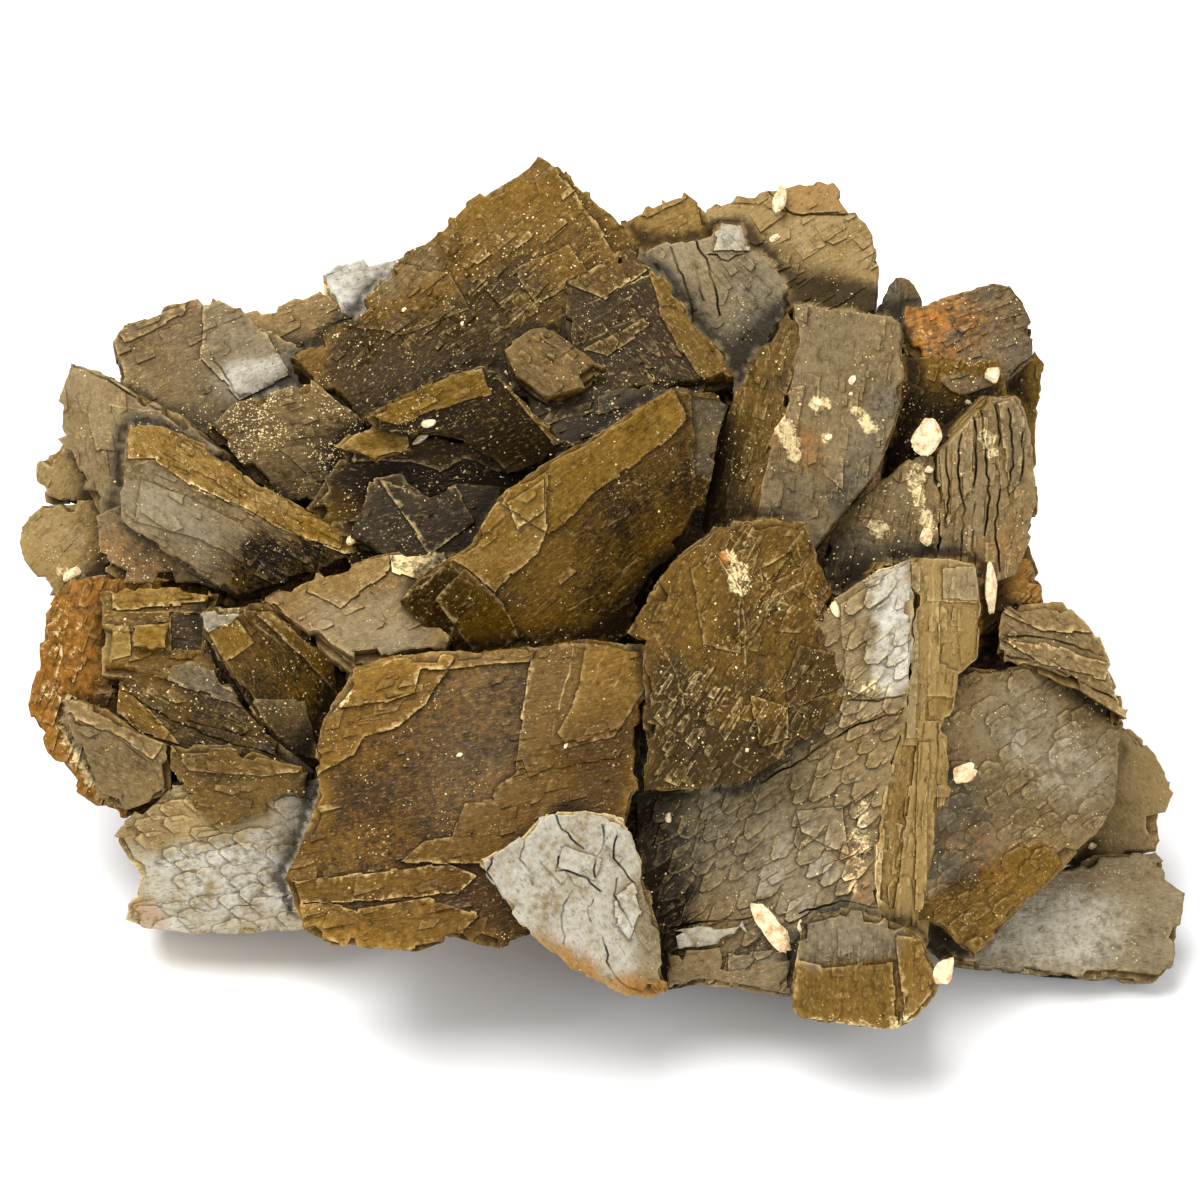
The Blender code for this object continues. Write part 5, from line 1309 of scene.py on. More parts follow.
crystal("left_lobe_upper", (-53, 13, -6, 0.1, 0), (2, 0, -4),
    [(-54.3, 16.4), (-55.5, 14.8), (-56.6, 13.7), (-56.4, 11.9), (-55.9, 9.8), (-49, 7.5),
     (-46.5, 10), (-47, 16)],
    dict(sheen=0.3, lattice=(60, -40, 2.2, 1.4), tone=0.8, amber=0.55, flakes=0.12, rim=0.7))
crystal("left_lobe_lower", (-54, 5, -2.5, 0.1, 0), (2, 0, -4),
    [(-55.9, 9.9), (-57.5, 8.7), (-58.5, 6.8), (-57.6, 4), (-55.1, 0.4), (-51, 0.6), (-46, 3),
     (-46, 9), (-50, 10)],
    dict(sheen=0.3, lattice=(40, -50, 2.4, 1.4), tone=0.8, amber=0.55, flakes=0.12, rim=0.7,
         zones=[("cream", 0.52, -53.6, 3, -51.8, 2.4, 0.5, 0.7),
                ("tone", -0.4, -50, 8, -50, 2, 1.4, 2.4)]))
crystal("golden_lump", (-31, 16, 2, 0, 0.2), (0.5, -4, -8),
    [(-36.4, 19.9), (-32.9, 20.9), (-28.9, 22.1), (-26.5, 20.2), (-23.4, 17.9), (-24, 13),
     (-27, 9.5), (-31.3, 9), (-36.1, 13.5), (-40, 17.3)],
    dict(sheen=0.25, lattice=(10, -50, 1.6, 1.1), wavy=3, tone=-0.05, amber=0.3, flakes=0.44))
crystal("left_block", (-44, -2, 6, 0, -0.3), (1, -4, -6),
    [(-50, 0.8), (-47.6, 1.5), (-38.3, 1.1), (-39, -1.5), (-38.4, -4), (-37.5, -7.5), (-43, -8),
     (-50, -7)],
    dict(lattice=(3, 80, 4.5, 1.2), tone=0.05, amber=0.35, flakes=0.2, rim=0.5,
         steps_up=[
             ([(-48.8, 1.6), (-38.6, 1.6), (-38.4, -0.2), (-43, -0.6), (-48.8, -1)], 0.35,
               dict(amber=0.9, tone=-0.05, light=0.9)),
             ([(-43, -1.3), (-39.6, -1.5), (-40, -5), (-43, -5)], -0.2,
               dict(tone=-0.6, amber=-0.1, light=0.5)),
             ([(-50, -2.4), (-47, -2.4), (-47, -5.6), (-50, -6.4)], 0.15,
               dict(amber=0.5, tone=0.5, light=0.9))],
         lines=[
             ([(-49.6, -1.4), (-44, -1.2), (-39.4, -1.2)], 0.08, 0.8),
             ([(-50, -3.4), (-47, -3.2)], 0.06, 0.8),
             ([(-50, -4.6), (-47, -4.4)], 0.06, 0.8)]))
crystal("amber_block", (-45, -3.6, 8.2, 0, 0), (0, -1, -4),
    [(-46.8, -2.5), (-43.1, -2.3), (-43.3, -4.9), (-46.8, -4.7)],
    dict(lattice=(3, 85, 1.9, 1.1), amber=1.1, tone=0.1, chip=0.3, flakes=0.17, rim=0.5))
crystal("dark_slab", (-40, -11, 8, 0.2, 0), (1, 0, -8),
    [(-47.9, -5.9), (-40.9, -5.9), (-37.7, -7.1), (-35.1, -11), (-32.6, -14.1), (-28.1, -17.7),
     (-33, -19.5), (-43, -17.5), (-48.5, -12.5)],
    dict(lattice=(-30, 50, 3.6, 1.7), tone=-0.2, amber=0.15, sheen=0.05, flakes=0.25,
         steps_up=[
             ([(-48, -8), (-43.6, -12.6), (-42, -14.4), (-45.6, -13.4), (-48.6, -11)], 0.3,
               dict(amber=0.5, tone=0.4, light=0.8)),
             ([(-46, -6.2), (-40.8, -6), (-38, -7.2), (-35.4, -10.8), (-39, -9.6), (-43, -8.2)],
               0.2, dict(sheen=0.3, light=0.4))],
         lines=[
             ([(-47.6, -9.2), (-43, -12), (-38, -14), (-32, -15.6)], -0.2, 0.9),
             ([(-41, -12.2), (-36, -13.4), (-33, -14.2)], -0.15, 0.7)],
         zones=[("amber", 0.5, -46, -7, -42, -10.4, 0.8, 1.6)]))
crystal("left_lower_outer", (-48, -15.5, 9, 0.2, 0.1), (1, 0, -6),
    [(-53.9, -10), (-52, -10), (-49.5, -11), (-46.3, -13.2), (-43.4, -14.5), (-43.1, -16.7),
     (-42.8, -19.6), (-47.2, -21), (-49.8, -20.5), (-51.4, -16.7), (-53, -13.2)],
    dict(lattice=(-30, 60, 3, 1.5), tone=0.05, amber=0.25, sheen=0.3, flakes=0.12, thin=0.4,
         steps_up=[
             ([(-54, -9.8), (-49.4, -10.8), (-46.2, -13), (-43.4, -14.3), (-44.6, -16),
               (-49, -13.2), (-52.6, -12)], 0.25, dict(amber=0.3, tone=0.15, light=0.8))],
         lines=[
             ([(-52.6, -12.2), (-49, -13.4), (-44.8, -16.4)], -0.15, 0.8)]))
crystal("left_lower_inner", (-36, -18, 10.5, 0.1, 0.2), (0.3, 0, -7),
    [(-43, -14.5), (-37, -14.5), (-28.8, -17), (-29.4, -19.6), (-32.3, -20.8), (-35.8, -22.4),
     (-39.3, -22.6), (-40.2, -21.5), (-42.1, -18.6), (-43, -16.8)],
    dict(lattice=(-12, 62, 3.2, 1.5), tone=0, amber=0.3, sheen=0.1, flakes=0.2,
         steps_up=[
             ([(-43, -14.6), (-37, -14.6), (-29, -17), (-34, -17.6), (-41, -17)], 0.2,
               dict(amber=0.25, tone=0.1, light=0.8))]))
crystal("pale_apron", (-38, -26, 8, 0.1, 0.15), (0.5, 0, -7),
    [(-47.7, -22), (-48.7, -23.6), (-46.3, -27.5), (-47.6, -32), (-45.6, -32.8), (-41, -33.4),
     (-37, -33.4), (-29.9, -33.1), (-26, -30), (-26.5, -18), (-35, -17), (-43, -18)],
    dict(lattice=(12, -42, 2.6, 1.8), scaly=0.75, scale_step=0.4, scale_light=0.45, scale_foot=0.5,
         tone=0.6, sheen=1.1, thin=0.1, flakes=0.15, chip=1,
         zones=[("amber", 0.9, -47, -23.6, -44.5, -24.2, 1, 1.2),
                ("sheen", -0.7, -47, -22.6, -34, -20, 1.4, 2.4),
                ("rust", 0.5, -46, -31, -44.5, -32, 0.8, 1.2),
                ("sheen", 0.4, -40, -27, -32, -28, 2, 2)]))
crystal("rusty_matrix", (-50, -8, 3, 0.1, 0), (4, 0, -9),
    [(-53.6, 2), (-54.9, 0), (-55.9, -1.4), (-56.2, -6.5), (-57, -8.4), (-57.5, -10.3),
     (-57.3, -11.9), (-55.9, -13.5), (-55.4, -15.4), (-52.4, -19.2), (-49.5, -21.3), (-47.7, -22),
     (-43, -20), (-43, 2), (-48, 3)],
    dict(lattice=(70, -20, 1.6, 1.1), wavy=4, tone=0, amber=0.3, rust=0.6, flakes=0.55,
         flake_light=0.8, chip=1.2,
         zones=[("cream", 0.35, -54, -2, -54.5, -8, 1.2, 1.8),
                ("cream", 0.5, -53, -12, -51, -18, 0.8, 1.2)]))


# ---------------------------------------------------------------------------------------------
# The back: a tall brown peak with an amber neighbour, a grey cracked block, and the slabs that
# show behind them, one of them nearly clear at its thin edge.
# ---------------------------------------------------------------------------------------------

BACK_RIGHT_FACE = (18.0, 36.0, -13.0, 0.0, -0.3)

crystal("peak", (-8, 32, 1.5, 0.2, -0.3), (0.5, -7, -10),
    [(-31, 24.2), (-24.9, 28.2), (-22.5, 31.5), (-20.1, 34.9), (-17.5, 36), (-15.6, 37.8),
     (-13.4, 39.8), (-11.2, 41.3), (-7.3, 43.5), (-6.3, 44.8), (-4.5, 43.3), (-3.2, 43.7),
     (-0.8, 41.1), (1.9, 38.4), (3.4, 35.8), (1, 31), (-4, 25), (-10, 18), (-23.6, 17),
     (-27, 20.3)],
    dict(lattice=(42, -48, 3.4, 2), tone=0, amber=0.35, sheen=0, thin=0.3, flakes=0.3, chip=1.1,
         flake_light=0.7,
         bevels=[((-10, 33), (2, 34.8), -0.2), ((2, 34.8), (-10, 33), 0.16)],
         flake_zones=[(60, -24, 31, -12, 25, 3), (30, -8, 31, -2, 27, 1.6)],
         steps_up=[
             ([(-4.8, 43.6), (-3.2, 44), (3.6, 36), (1.6, 34.6), (-0.6, 38)], -0.35,
               dict(tone=-0.25, amber=0.2, light=0.5)),
             ([(-8.8, 33), (-3, 35.6), (-1, 32.4), (-6.4, 29.6)], 0.2, dict(tone=0.15, light=0.6)),
             ([(-26, 27.6), (-20, 33.6), (-15, 32.6), (-13, 29), (-19.6, 26.4)], 0.15,
               dict(tone=0.1, amber=0.15, light=0.4))],
         lines=[
             ([(-16.6, 36), (-12, 31.6), (-9, 28)], -0.15, 0.5),
             ([(-12, 38.6), (-9, 34.8)], 0.06, 0.4)],
         zones=[("amber", 0.35, -7, 40, -13, 37, 2.2, 3), ("tone", 0.25, -7, 42, -8, 40.6, 1, 1.4),
                ("tone", -0.45, -22, 24, -12, 23, 2.5, 3),
                ("tone", -0.35, -8, 31, -16, 27, 1.5, 3),
                ("sheen", 0.3, -21, 31.5, -17, 34, 0.9, 1.6)]))
crystal("peak_right", (4, 27, 5, 0.1, -0.2), (0, -6, -8),
    [(-3.5, 32), (3.4, 35.6), (5.7, 33), (8, 30.6), (10.2, 27.2), (12.4, 24.7), (13.5, 22.3),
     (9.4, 21.1), (3.2, 20.5), (-4, 20)],
    dict(lattice=(-50, 30, 3, 1.6), tone=-0.45, amber=0.25, thin=0.2, flakes=0.15, flake_light=0.6,
         chip=1.2,
         steps_up=[
             ([(4.6, 33.6), (6, 33.4), (8.4, 30.6), (13.7, 22.3), (10.6, 21.4), (7.6, 25.6),
               (6, 28.6)], 0.25, dict(amber=0.65, tone=0.12, light=0.4)),
             ([(-3.4, 31.6), (2.6, 35.4), (5.2, 33.4), (0.4, 30)], 0.25,
               dict(amber=0.2, tone=0.25, light=0.9)),
             ([(-1.6, 25), (4.4, 28.4), (5.2, 27.4), (0.6, 24.4)], 0.15,
               dict(amber=0.2, tone=0.2, light=0.9))],
         lines=[
             ([(-2.6, 25.4), (1, 27), (4.8, 28.8)], 0.08, 0.9),
             ([(-1, 29.6), (2.6, 31.6), (5.6, 32.8)], 0.08, 0.9),
             ([(0, 28.4), (3, 30.2)], 0.05, 0.7)],
         zones=[("tone", -0.35, 0, 22.6, 8, 23, 1.4, 2)]))
crystal("back_left_slab", (-40, 24, -5.5, 0, -0.3), (0.5, -8, -8),
    [(-47.7, 28.2), (-42.8, 29.8), (-38, 30.4), (-36.2, 29.5), (-35, 28.8), (-27, 23), (-30, 16),
     (-39, 14), (-47, 16), (-48.2, 23.2), (-48.8, 25.8)],
    dict(lattice=(24, -62, 3.6, 1.8), tone=-0.08, amber=0.45, sheen=0.25, rim=0.9, flakes=0.2,
         chip=1,
         steps_up=[
             ([(-39.6, 30.6), (-34.6, 29), (-30.8, 22.4), (-36, 20), (-40, 24.4)], 0.35,
               dict(sheen=0.25, light=0.5)),
             ([(-48.6, 27.6), (-41, 29.8), (-41.6, 28.6), (-47.6, 25.6)], 0.2,
               dict(cream=0.2, light=0.6))],
         lines=[
             ([(-39, 24.6), (-36, 20.2)], -0.2, 0.8),
             ([(-40.6, 26), (-36, 28.4)], -0.1, 0.4)],
         zones=[("sheen", 0.6, -36.5, 22, -31, 22.5, 1.4, 1.6),
                ("amber", 0.3, -46, 20, -40, 18, 2, 3)]))
crystal("back_notch_slab", (-30, 27, -8, 0, -0.2), (0.5, -8, -7),
    [(-36, 28.6), (-31.9, 29.6), (-30, 30.7), (-28, 31.4), (-24, 29), (-24, 22), (-35, 20)],
    dict(lattice=(20, -50, 2.6, 1.5), tone=0.35, amber=0.4, sheen=0.25, flakes=0.25, rim=0.9,
         flake_zones=[(40, -28, 27, -26, 22, 1.4)]))
crystal("clear_flake", (-23, 32, -9, 0, -0.2), (0.5, -7, -6),
    [(-27.8, 31.1), (-27.8, 32.5), (-26.2, 33.5), (-23.3, 34.2), (-18.9, 35), (-17, 32), (-19, 25),
     (-26, 26)],
    dict(lattice=(18, -60, 3, 1.4), tone=0.9, sheen=1.5, amber=0.1, flakes=0.2))
crystal("grey_block", (12, 30, -3.5, 0.1, -0.2), (0.5, -8, -8),
    [(3, 34.4), (8.3, 36.5), (12.1, 37.9), (14, 37.8), (15.1, 34.9), (16.6, 34.6), (18.7, 31.4),
     (19.5, 29.6), (17.5, 26), (14, 20), (4, 22)],
    dict(lattice=(-50, 34, 3, 1.7), tone=0.2, sheen=0.65, amber=0, flakes=0.2, chip=1.2,
         bevels=[((12.6, 24), (15.2, 35), -0.1), ((15.2, 35), (12.6, 24), 0.18)],
         lines=[
             ([(9.2, 36.6), (10.6, 34), (11.6, 31), (12, 28.4)], -0.45, 1),
             ([(7, 35), (8.6, 31.6), (9.4, 28)], -0.3, 0.8),
             ([(11, 34.6), (12.8, 34), (14.8, 35)], -0.35, 1),
             ([(9.6, 33), (10.2, 30)], -0.25, 0.8)],
         steps_up=[
             ([(11.2, 34.8), (12, 38), (14.2, 38), (15.2, 34.9)], 0.25,
               dict(sheen=0.5, tone=0.2, light=0.6))],
         zones=[("tone", -0.25, 16, 30, 17, 26, 2, 2)]))
crystal("back_yellow_slab", (6, 37.5, -11.5, 0, -0.3), (0.5, -9, -7),
    [(2, 38.3), (4, 39.5), (8.2, 41.2), (9.7, 40.3), (10.9, 39.5), (12, 33), (2, 31)],
    dict(lattice=(25, -50, 3, 1.6), tone=0.7, amber=0.85, flakes=0.17, rim=0.6,
         steps_up=[
             ([(2, 38.4), (4, 39.6), (8.2, 41.4), (9.4, 40.4), (4.6, 38.2)], 0.2,
               dict(cream=0.2, tone=0.2, light=0.5))]))
crystal("back_right_slab", BACK_RIGHT_FACE, (0.5, -10, -8),
    [(9, 38.6), (12.9, 40.3), (16.8, 41.3), (20.9, 42.3), (23.1, 42.1), (25.7, 38.9), (27.4, 36.4),
     (28, 33.2), (27.6, 29.3), (25, 24), (12, 26)],
    dict(lattice=(30, -60, 1.7, 1.3), wavy=2.5, tone=0.75, amber=0.55, sheen=0.25, flakes=0.28,
         flake_light=0.6, chip=1,
         steps_up=[
             ([(16.4, 41.4), (21, 42.6), (23.4, 42.4), (26, 38.8), (19.4, 38.6)], 0.35,
               dict(amber=0.35, rust=0.25, light=0.5))],
         lines=[
             ([(11, 39.4), (15.4, 39.6), (19.4, 38.6), (25.6, 38.6)], -0.2, 0.7)]))
crystal("small_dark_prism", (29.5, 30, -7.5, -0.3, -0.1), (0.5, -6, -6),
    [(27.4, 29), (27.9, 30.9), (29, 32.2), (30.1, 32.5), (31.1, 32.2), (32.5, 30), (33, 24),
     (27, 24)],
    dict(lattice=(84, 10, 2.4, 1), tone=0.1, sheen=0.3,
         bevels=[((29.8, 24), (30.2, 33), 0.6)],
         zones=[("tone", -0.5, 28.4, 31, 28.4, 25, 1, 0.6),
                ("amber", 0.3, 28.4, 31, 28.4, 25, 1, 0.6)]))


# ---------------------------------------------------------------------------------------------
# The right side: a striated pillar, a rough brown block over a dark cavity, a block with upright
# edges, thin plates, a large scaly plate and the smooth grey slab that reaches furthest right.
# ---------------------------------------------------------------------------------------------

RIGHT_LARGE_FACE = (42.0, -20.0, 13.5, -0.35, 0.15)
STRIATED_LEFT_FACE = (33.5, 10.0, 13.0, 0.2, 0.0)
BROWN_BLOCK_FACE = (37.0, 26.0, 4.0, 0.0, -0.3)

crystal("pillar_front", (24, 18, 15, 0, 0.15), (0, -3, -9),
    [(19.3, 29.7), (21.2, 29.5), (25, 28.9), (29.2, 28.4), (30, 27.7), (30.4, 23.6), (30.3, 20.4),
     (28.9, 15.6), (27.6, 12.8), (24.7, 9.2), (21.9, 5.7), (19, 2), (15.4, 2), (15.5, 8),
     (16.2, 12.1), (17.1, 16.6), (18.4, 18.5), (19, 21.7), (19.8, 26.1)],
    dict(lattice=(84, -12, 3, 1), tone=0.1, amber=0.25, sheen=0.45, flakes=0.3, rim=0.4, chip=0.3,
         flake_light=0.5,
         flake_zones=[(30, 18, 24, 18.6, 14, 0.6)],
         zones=[("cream", 0.56, 18.2, 17.8, 19.4, 14.6, 0.9, 0.8),
                ("cream", 0.54, 21.4, 19.8, 22.6, 19.6, 0.4, 0.5),
                ("cream", 0.54, 25.4, 19, 27.2, 17.6, 0.6, 0.7),
                ("cream", 0.52, 22.6, 16.2, 23, 16.2, 0.3, 0.4),
                ("rust", 0.5, 18, 17, 20.4, 15, 0.8, 1.4),
                ("amber", 0.4, 17.4, 12, 17.4, 6, 1.4, 1.6),
                ("tone", -0.4, 28.6, 20, 25, 9.6, 0.8, 1.8),
                ("tone", -0.35, 17, 10, 18, 3, 1.4, 2.4)]))
crystal("pillar_side", (20.6, 26.1, 16, 0.9, -0.075), (3, -3, -7),
    [(19.5, 29.7), (16.8, 26.1), (14.5, 23.6), (13.6, 21), (11.7, 15.9), (10.4, 10.2), (10.1, 7),
     (12, 2), (16, 2), (16.3, 8), (17, 12.1), (17.9, 16.6), (19.2, 18.5), (19.8, 21.7),
     (20.6, 26.1)],
    dict(chip=0.3, lattice=(72, -20, 4, 0.9), tone=-0.05, amber=0.4, sheen=0.1, flakes=0.39,
         thin=0.2, flake_light=0.6,
         lines=[
             ([(15, 23), (13.6, 17), (12.6, 9)], 0.08, 0.6),
             ([(17, 25.6), (15.6, 19), (14.4, 11)], 0.06, 0.5)],
         zones=[("tone", -0.45, 11, 14, 11.4, 6, 1.2, 2)]))
crystal("brown_block", BROWN_BLOCK_FACE, (-0.5, -2, -9),
    [(30.5, 29.3), (33, 30), (35.6, 30.9), (39.2, 32), (40.7, 31.7), (42.3, 29.7), (43.5, 27.6),
     (43.5, 24.6), (40.7, 22), (38.4, 21), (35.9, 20.4), (33.7, 22), (31.1, 24.9), (30.3, 27.1)],
    dict(lattice=(20, -70, 1.9, 1.3), wavy=3, tone=-0.25, amber=0.15, sheen=0.25, rust=0.1,
         flakes=0.45, chip=1,
         zones=[("rust", 0.9, 31.8, 27.8, 33.6, 24.4, 1, 1.4),
                ("cream", 0.4, 32, 27, 33, 26, 0.5, 0.9),
                ("rust", 0.6, 35, 29.6, 37, 28, 0.7, 1.6),
                ("tone", -0.45, 41.6, 25, 42.6, 21, 1, 1.6)]))
crystal("cavity_wall", (35, 18, 4.5, 0.1, 0.1), (0, -5, -8),
    [(28, 25), (40, 24), (42, 15), (36, 10), (28, 9)],
    dict(lattice=(60, -30, 1.8, 1.2), tone=0, amber=0.3, flakes=0.4))
crystal("striated_left", STRIATED_LEFT_FACE, (2, 0, -9),
    [(22.2, 4.1), (22.5, 1.9), (23.8, -1), (33, -1), (33.9, 5), (34, 10), (33.7, 14.7), (30.5, 14),
     (27.6, 11.5), (24.7, 9.2), (22.8, 6.7)],
    dict(chip=0.3, lattice=(78, -8, 3, 1), tone=0.15, amber=0.2, sheen=0.35, flakes=0.5,
         flake_light=0.8, wavy=1.6,
         zones=[("cream", 0.5, 31.6, 12.6, 32.6, 7, 0.7, 1.2),
                ("cream", 0.5, 27.6, 7.6, 28.4, 7, 0.5, 0.9),
                ("tone", -0.5, 23, 5, 25, 0, 1.4, 2.4)]))
crystal("striated_right", (33.7, 10, 13.2, -0.8, 0), (-3, 1, -8),
    [(33.7, 14.9), (35.3, 16.3), (37.5, 18.8), (39.1, 20.4), (41.6, 20.4), (42.6, 19.5),
     (43.4, 15.3), (43.8, 10), (43, 6), (41.5, 2.5), (37.5, 1), (33, -1), (33.7, 5)],
    dict(chip=0.5, lattice=(88, 5, 3.4, 0.9), tone=0.35, amber=0.15, sheen=0.45, flakes=0.55,
         flake_light=0.7,
         lines=[
             ([(34.6, 15.4), (34.9, 11), (34.5, 7.4)], -0.5, 1),
             ([(34.9, 5), (34.5, 1.4)], -0.3, 0.8),
             ([(36.1, 16.4), (35.8, 12.6), (36.4, 9), (35.9, 3.6)], -0.6, 1),
             ([(37.4, 18.2), (37.7, 14), (37.2, 11.4)], -0.6, 1),
             ([(37.5, 9.6), (37.2, 6), (37.6, 2.4)], -0.4, 0.9),
             ([(38.1, 19), (38.5, 15), (38.9, 10.2), (38.4, 6.6)], -0.7, 1),
             ([(39.6, 19.6), (39.9, 16.4), (39.6, 13)], -0.4, 0.9),
             ([(39.9, 11.2), (39.5, 7), (40.1, 3)], -0.6, 1),
             ([(40.9, 19.2), (41.3, 14.2), (40.8, 10.4)], -0.5, 1),
             ([(41.6, 8.8), (41.2, 5.4)], -0.3, 0.8),
             ([(42.4, 17), (42.1, 12)], -0.4, 0.9)],
         steps_up=[
             ([(33.9, 14.8), (35.4, 16.2), (37.3, 18.4), (37.4, 11.4), (34.6, 7.4)], 0.3,
               dict(tone=0.15, light=0.6)),
             ([(39.8, 19.8), (41.4, 20.2), (42.4, 18.4), (42.2, 12), (40.9, 10.6)], 0.25,
               dict(tone=-0.15, amber=0.2, light=0.7))],
         zones=[("rust", 0.4, 36, 3, 41, 5, 1, 2), ("cream", 0.5, 38.8, 16.4, 39.2, 15, 0.4, 0.8),
                ("amber", 0.4, 37.6, 12, 38, 4, 1, 2)]))
crystal("right_back_fin", (42, 12, -3, 0, 0), (-1, -2, -5),
    [(43.5, 25), (44.4, 23.6), (44.3, 21.7), (43.9, 19.1), (43.5, 16.9), (43.8, 10.2), (43.7, 8.3),
     (42.7, 6.5), (43.4, 4.1), (44.3, 1.3), (44, -3), (36, -4), (37, 24)],
    dict(lattice=(84, 0, 3, 1.2), tone=0.3, amber=0.5, flakes=0.22, chip=1.1))
crystal("right_plates", (46, -4.5, 11.5, -0.2, -0.7), (0, -1, -7),
    [(39.6, -5.2), (40.1, -1.4), (40.7, -0.5), (44.5, 0), (46.4, 0), (47.4, -1.1), (50, -3.7),
     (51.2, -6.8), (52.7, -10), (52.7, -11.9), (47.7, -8.8), (45.2, -7.8), (40.4, -6.2)],
    dict(lattice=(-36, 50, 3.4, 1.1), tone=0.2, amber=0.25, sheen=0.35, rim=0.9, flakes=0.22,
         steps_up=[
             ([(40, -1), (46.6, 0.2), (49.6, -3.4), (44, -3)], 0.35, dict(tone=0.1, light=0.9)),
             ([(40, -3.8), (45, -4.4), (51, -6.4), (50.6, -8), (44, -6.4)], 0.25,
               dict(tone=0.05, light=0.9))],
         lines=[
             ([(40.2, -3.4), (45, -4), (50.4, -5.6)], -0.35, 1),
             ([(40.4, -5.4), (45.6, -7), (51.6, -10)], -0.3, 1)]))
crystal("right_matrix", (41, 1, 6, -0.3, 0), (0, -3, -8),
    [(36, 4), (43.2, 4.1), (44.1, 1.3), (44.8, -1.5), (41, -4), (36, -5)],
    dict(lattice=(40, -40, 1.6, 1.1), wavy=3, tone=0.4, amber=0.5, rust=0.5, flakes=0.55))
crystal("right_large", RIGHT_LARGE_FACE, (-0.5, 0, -9),
    [(35, -6.8), (40.1, -6.6), (42.6, -6.2), (48.6, -7.8), (51.9, -11.3), (52.5, -12.3),
     (51.5, -20.2), (50.3, -22.5), (47.4, -26), (42.6, -30.8), (37.5, -36), (36.2, -34.9),
     (34.3, -32.7), (31, -32), (31, -10)],
    dict(lattice=(35, -50, 2.2, 1.6), scaly=0.6, scale_step=0.22, scale_light=0.35, scale_foot=0.5,
         tone=0.15, amber=0.25, sheen=0.35, flakes=0.15, chip=1.2,
         bevels=[((46, -27), (34, -21.5), -0.1), ((34, -21.5), (46, -27), 0.22)],
         lines=[
             ([(34.4, -21.6), (38, -20.6), (42, -22.6), (47, -25.6)], 0.08, 0.5)],
         zones=[("amber", 0.6, 36, -33, 43, -28, 2.2, 2.4),
                ("sheen", -0.6, 36, -32, 43, -28, 2.4, 2.4),
                ("tone", -0.5, 34, -22, 38, -32, 2.2, 3.4), ("rust", 0.25, 37, -24, 40, -28, 1, 2),
                ("sheen", 0.4, 42, -12, 48, -17, 2.4, 2.4)]))
# its tone is raised far above the rest: painted light on a fin that the overhead softbox leaves in
# shade
crystal("right_edge_fin", (53, -18, 1, 0.1, 0), (-2, 0, -5),
    [(52.5, -11.9), (55, -14.3), (56.6, -16.7), (57.7, -18), (57.4, -19.3), (56.5, -21.2),
     (56.3, -22.8), (56.5, -24.1), (56, -25.2), (48, -27), (44, -20), (45, -10)],
    dict(lattice=(-50, 40, 2.6, 1.3), tone=1.9, amber=0.9, sheen=0.4,
         zones=[("amber", 0.8, 52, -21, 56, -23.5, 1, 1.2)]))
crystal("bottom_right_slab", (48, -32, 6.5, -0.1, -0.3), (-0.5, -0.8, -3),
    [(47.7, -26.3), (49.6, -25.3), (55.7, -24.9), (56.6, -26), (56.5, -27.9), (58.5, -29.3),
     (58.2, -31.7), (57.4, -36.5), (56.3, -37.8), (55.7, -38.2), (50, -37.8), (43.9, -37.3),
     (35, -36.3), (31, -32.4), (34, -24)],
    dict(lattice=(-6, 58, 4, 2), tone=0, amber=0.1, sheen=0.6,
         zones=[("sheen", 0.4, 40, -32, 48, -33, 2.4, 3.4),
                ("amber", 0.5, 50, -27, 55, -28, 1.2, 1.8)]))


# ---------------------------------------------------------------------------------------------
# Blades round the back, broad faces outwards, where the cluster broke off its vein. They are
# the same siderite as the front, weathered browner, and are made as relief plates too.
# Each is given by where its broad face is, in mm: x, y and height.
# ---------------------------------------------------------------------------------------------

BACK_BLADES = [(39.0, 8.0, 11.0), (32.0, 24.0, 23.0), (29.0, 25.0, 9.5), (22.0, 31.0, 27.0),
               (13.0, 32.0, 13.0), (5.0, 37.0, 28.0), (-5.0, 33.0, 12.0), (-13.0, 33.0, 25.0),
               (-23.0, 31.0, 11.0), (-30.0, 31.0, 24.0), (-38.0, 20.0, 10.0),
               (-44.0, 14.0, 22.0), (-46.0, -2.0, 13.0)]
BACK_BLADE_DEPTH, BACK_BLADE_THICKNESS = 22.0, 9.0
FLOOR_CLEARANCE = 0.8
CENTRING = Vector((*VIEW_CENTRE[:2], 0.0))

